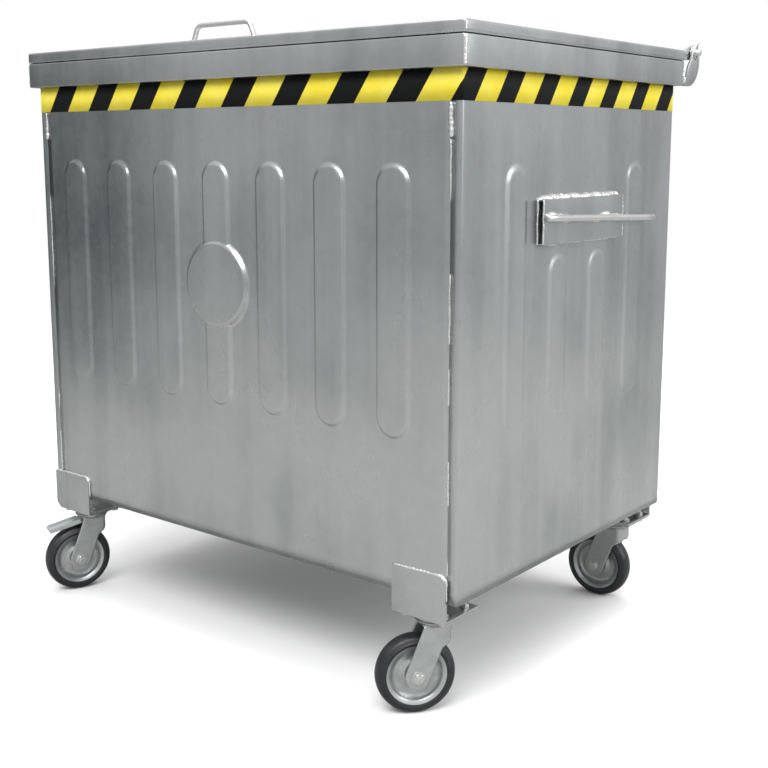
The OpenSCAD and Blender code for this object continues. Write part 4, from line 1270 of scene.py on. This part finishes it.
class WASTECAN_OT_panels(PieceOperator, bpy.types.Operator):
    """Makes the four pressed panels of the body"""
    bl_idname = "wastecan.panels"
    bl_label = "Pressed Panels"

    def make(self, can):
        long_panel("front_panel", can.body, -1, can.body.rib_shift, True)
        long_panel("rear_panel", can.body, 1, 0.0, False)
        side_panel("right_side_panel", can.body, 1)
        side_panel("left_side_panel", can.body, -1)


class WASTECAN_OT_rim(PieceOperator, bpy.types.Operator):
    """Makes the folded rim collar"""
    bl_idname = "wastecan.rim"
    bl_label = "Rim Collar"

    def make(self, can):
        make_rim(can.top)


class WASTECAN_OT_tape(PieceOperator, bpy.types.Operator):
    """Makes the striped warning tape"""
    bl_idname = "wastecan.tape"
    bl_label = "Warning Tape"

    def make(self, can):
        make_tape(can.body, can.band)


class WASTECAN_OT_lid(PieceOperator, bpy.types.Operator):
    """Makes the folded lid"""
    bl_idname = "wastecan.lid"
    bl_label = "Lid"

    def make(self, can):
        make_lid(can.top)


class WASTECAN_OT_handle(PieceOperator, bpy.types.Operator):
    """Makes the lid's handle and its welds"""
    bl_idname = "wastecan.handle"
    bl_label = "Lid Handle"

    def make(self, can):
        make_handle(can.top)


class WASTECAN_OT_hinge(PieceOperator, bpy.types.Operator):
    """Makes the hinge's lugs, ears, rod, washers and pins"""
    bl_idname = "wastecan.hinge"
    bl_label = "Hinge"

    def make(self, can):
        make_hinge()


class WASTECAN_OT_sleeves(PieceOperator, bpy.types.Operator):
    """Makes the lifting sleeves and bars"""
    bl_idname = "wastecan.sleeves"
    bl_label = "Lifting Sleeves"

    def make(self, can):
        make_sleeves()


class WASTECAN_OT_brackets(PieceOperator, bpy.types.Operator):
    """Makes the caster brackets"""
    bl_idname = "wastecan.brackets"
    bl_label = "Caster Brackets"

    def make(self, can):
        make_brackets()


class WASTECAN_OT_bolts(PieceOperator, bpy.types.Operator):
    """Makes the bolts and nuts of the caster plates"""
    bl_idname = "wastecan.bolts"
    bl_label = "Bolts and Nuts"

    def make(self, can):
        make_bolts(can.casters)


class WASTECAN_OT_casters(PieceOperator, bpy.types.Operator):
    """Makes the four casters and their pedals"""
    bl_idname = "wastecan.casters"
    bl_label = "Casters"

    def make(self, can):
        make_casters(can.casters)


class WASTECAN_OT_welds(PieceOperator, bpy.types.Operator):
    """Makes every weld bead on the body"""
    bl_idname = "wastecan.welds"
    bl_label = "Welds"

    def make(self, can):
        make_welds(can.body)


class WASTECAN_OT_finishes(PieceOperator, bpy.types.Operator):
    """Gives the assembly's own nodes their finishes"""
    bl_idname = "wastecan.finishes"
    bl_label = "Finishes"

    def make(self, can):
        for name, shown in frame["nodes"].items():
            if not shown.material_slots:
                shown.data.materials.append(None)
            for place in shown.material_slots:
                place.material = finish_of(SLOT_OF[name])


class WASTECAN_OT_stage(PieceOperator, bpy.types.Operator):
    """Makes the floor, the light and the camera"""
    bl_idname = "wastecan.stage"
    bl_label = "Stage"

    def make(self, can):
        make_stage(can.stage)


GROUPS = (PressedSheet, RimAndLid, WarningBand, CasterSizes, Finishes, StageSettings, WasteCan)
OPERATORS = (
    WASTECAN_OT_stage, WASTECAN_OT_panels, WASTECAN_OT_rim, WASTECAN_OT_tape, WASTECAN_OT_lid,
    WASTECAN_OT_handle, WASTECAN_OT_hinge, WASTECAN_OT_sleeves, WASTECAN_OT_brackets, WASTECAN_OT_bolts,
    WASTECAN_OT_casters, WASTECAN_OT_welds, WASTECAN_OT_finishes,
)


class WASTECAN_PT_pieces(bpy.types.Panel):
    """Lists the can's pieces in the sidebar"""
    bl_idname = "WASTECAN_PT_pieces"
    bl_label = "Oily Waste Can"
    bl_space_type = "VIEW_3D"
    bl_region_type = "UI"
    bl_category = "Waste Can"

    def draw(self, context):
        for operator in OPERATORS:
            self.layout.operator(operator.bl_idname)


def register():
    for made in (*GROUPS, *OPERATORS, WASTECAN_PT_pieces):
        bpy.utils.register_class(made)
    bpy.types.Scene.waste_can = PointerProperty(type=WasteCan, name="Waste can",
                                                description="The can's settings")


def unregister():
    del bpy.types.Scene.waste_can
    for made in reversed((*GROUPS, *OPERATORS, WASTECAN_PT_pieces)):
        bpy.utils.unregister_class(made)


def main():
    register()
    for operator in OPERATORS:
        group, name = operator.bl_idname.split(".")
        getattr(getattr(bpy.ops, group), name)()


if __name__ == "__main__":
    main()
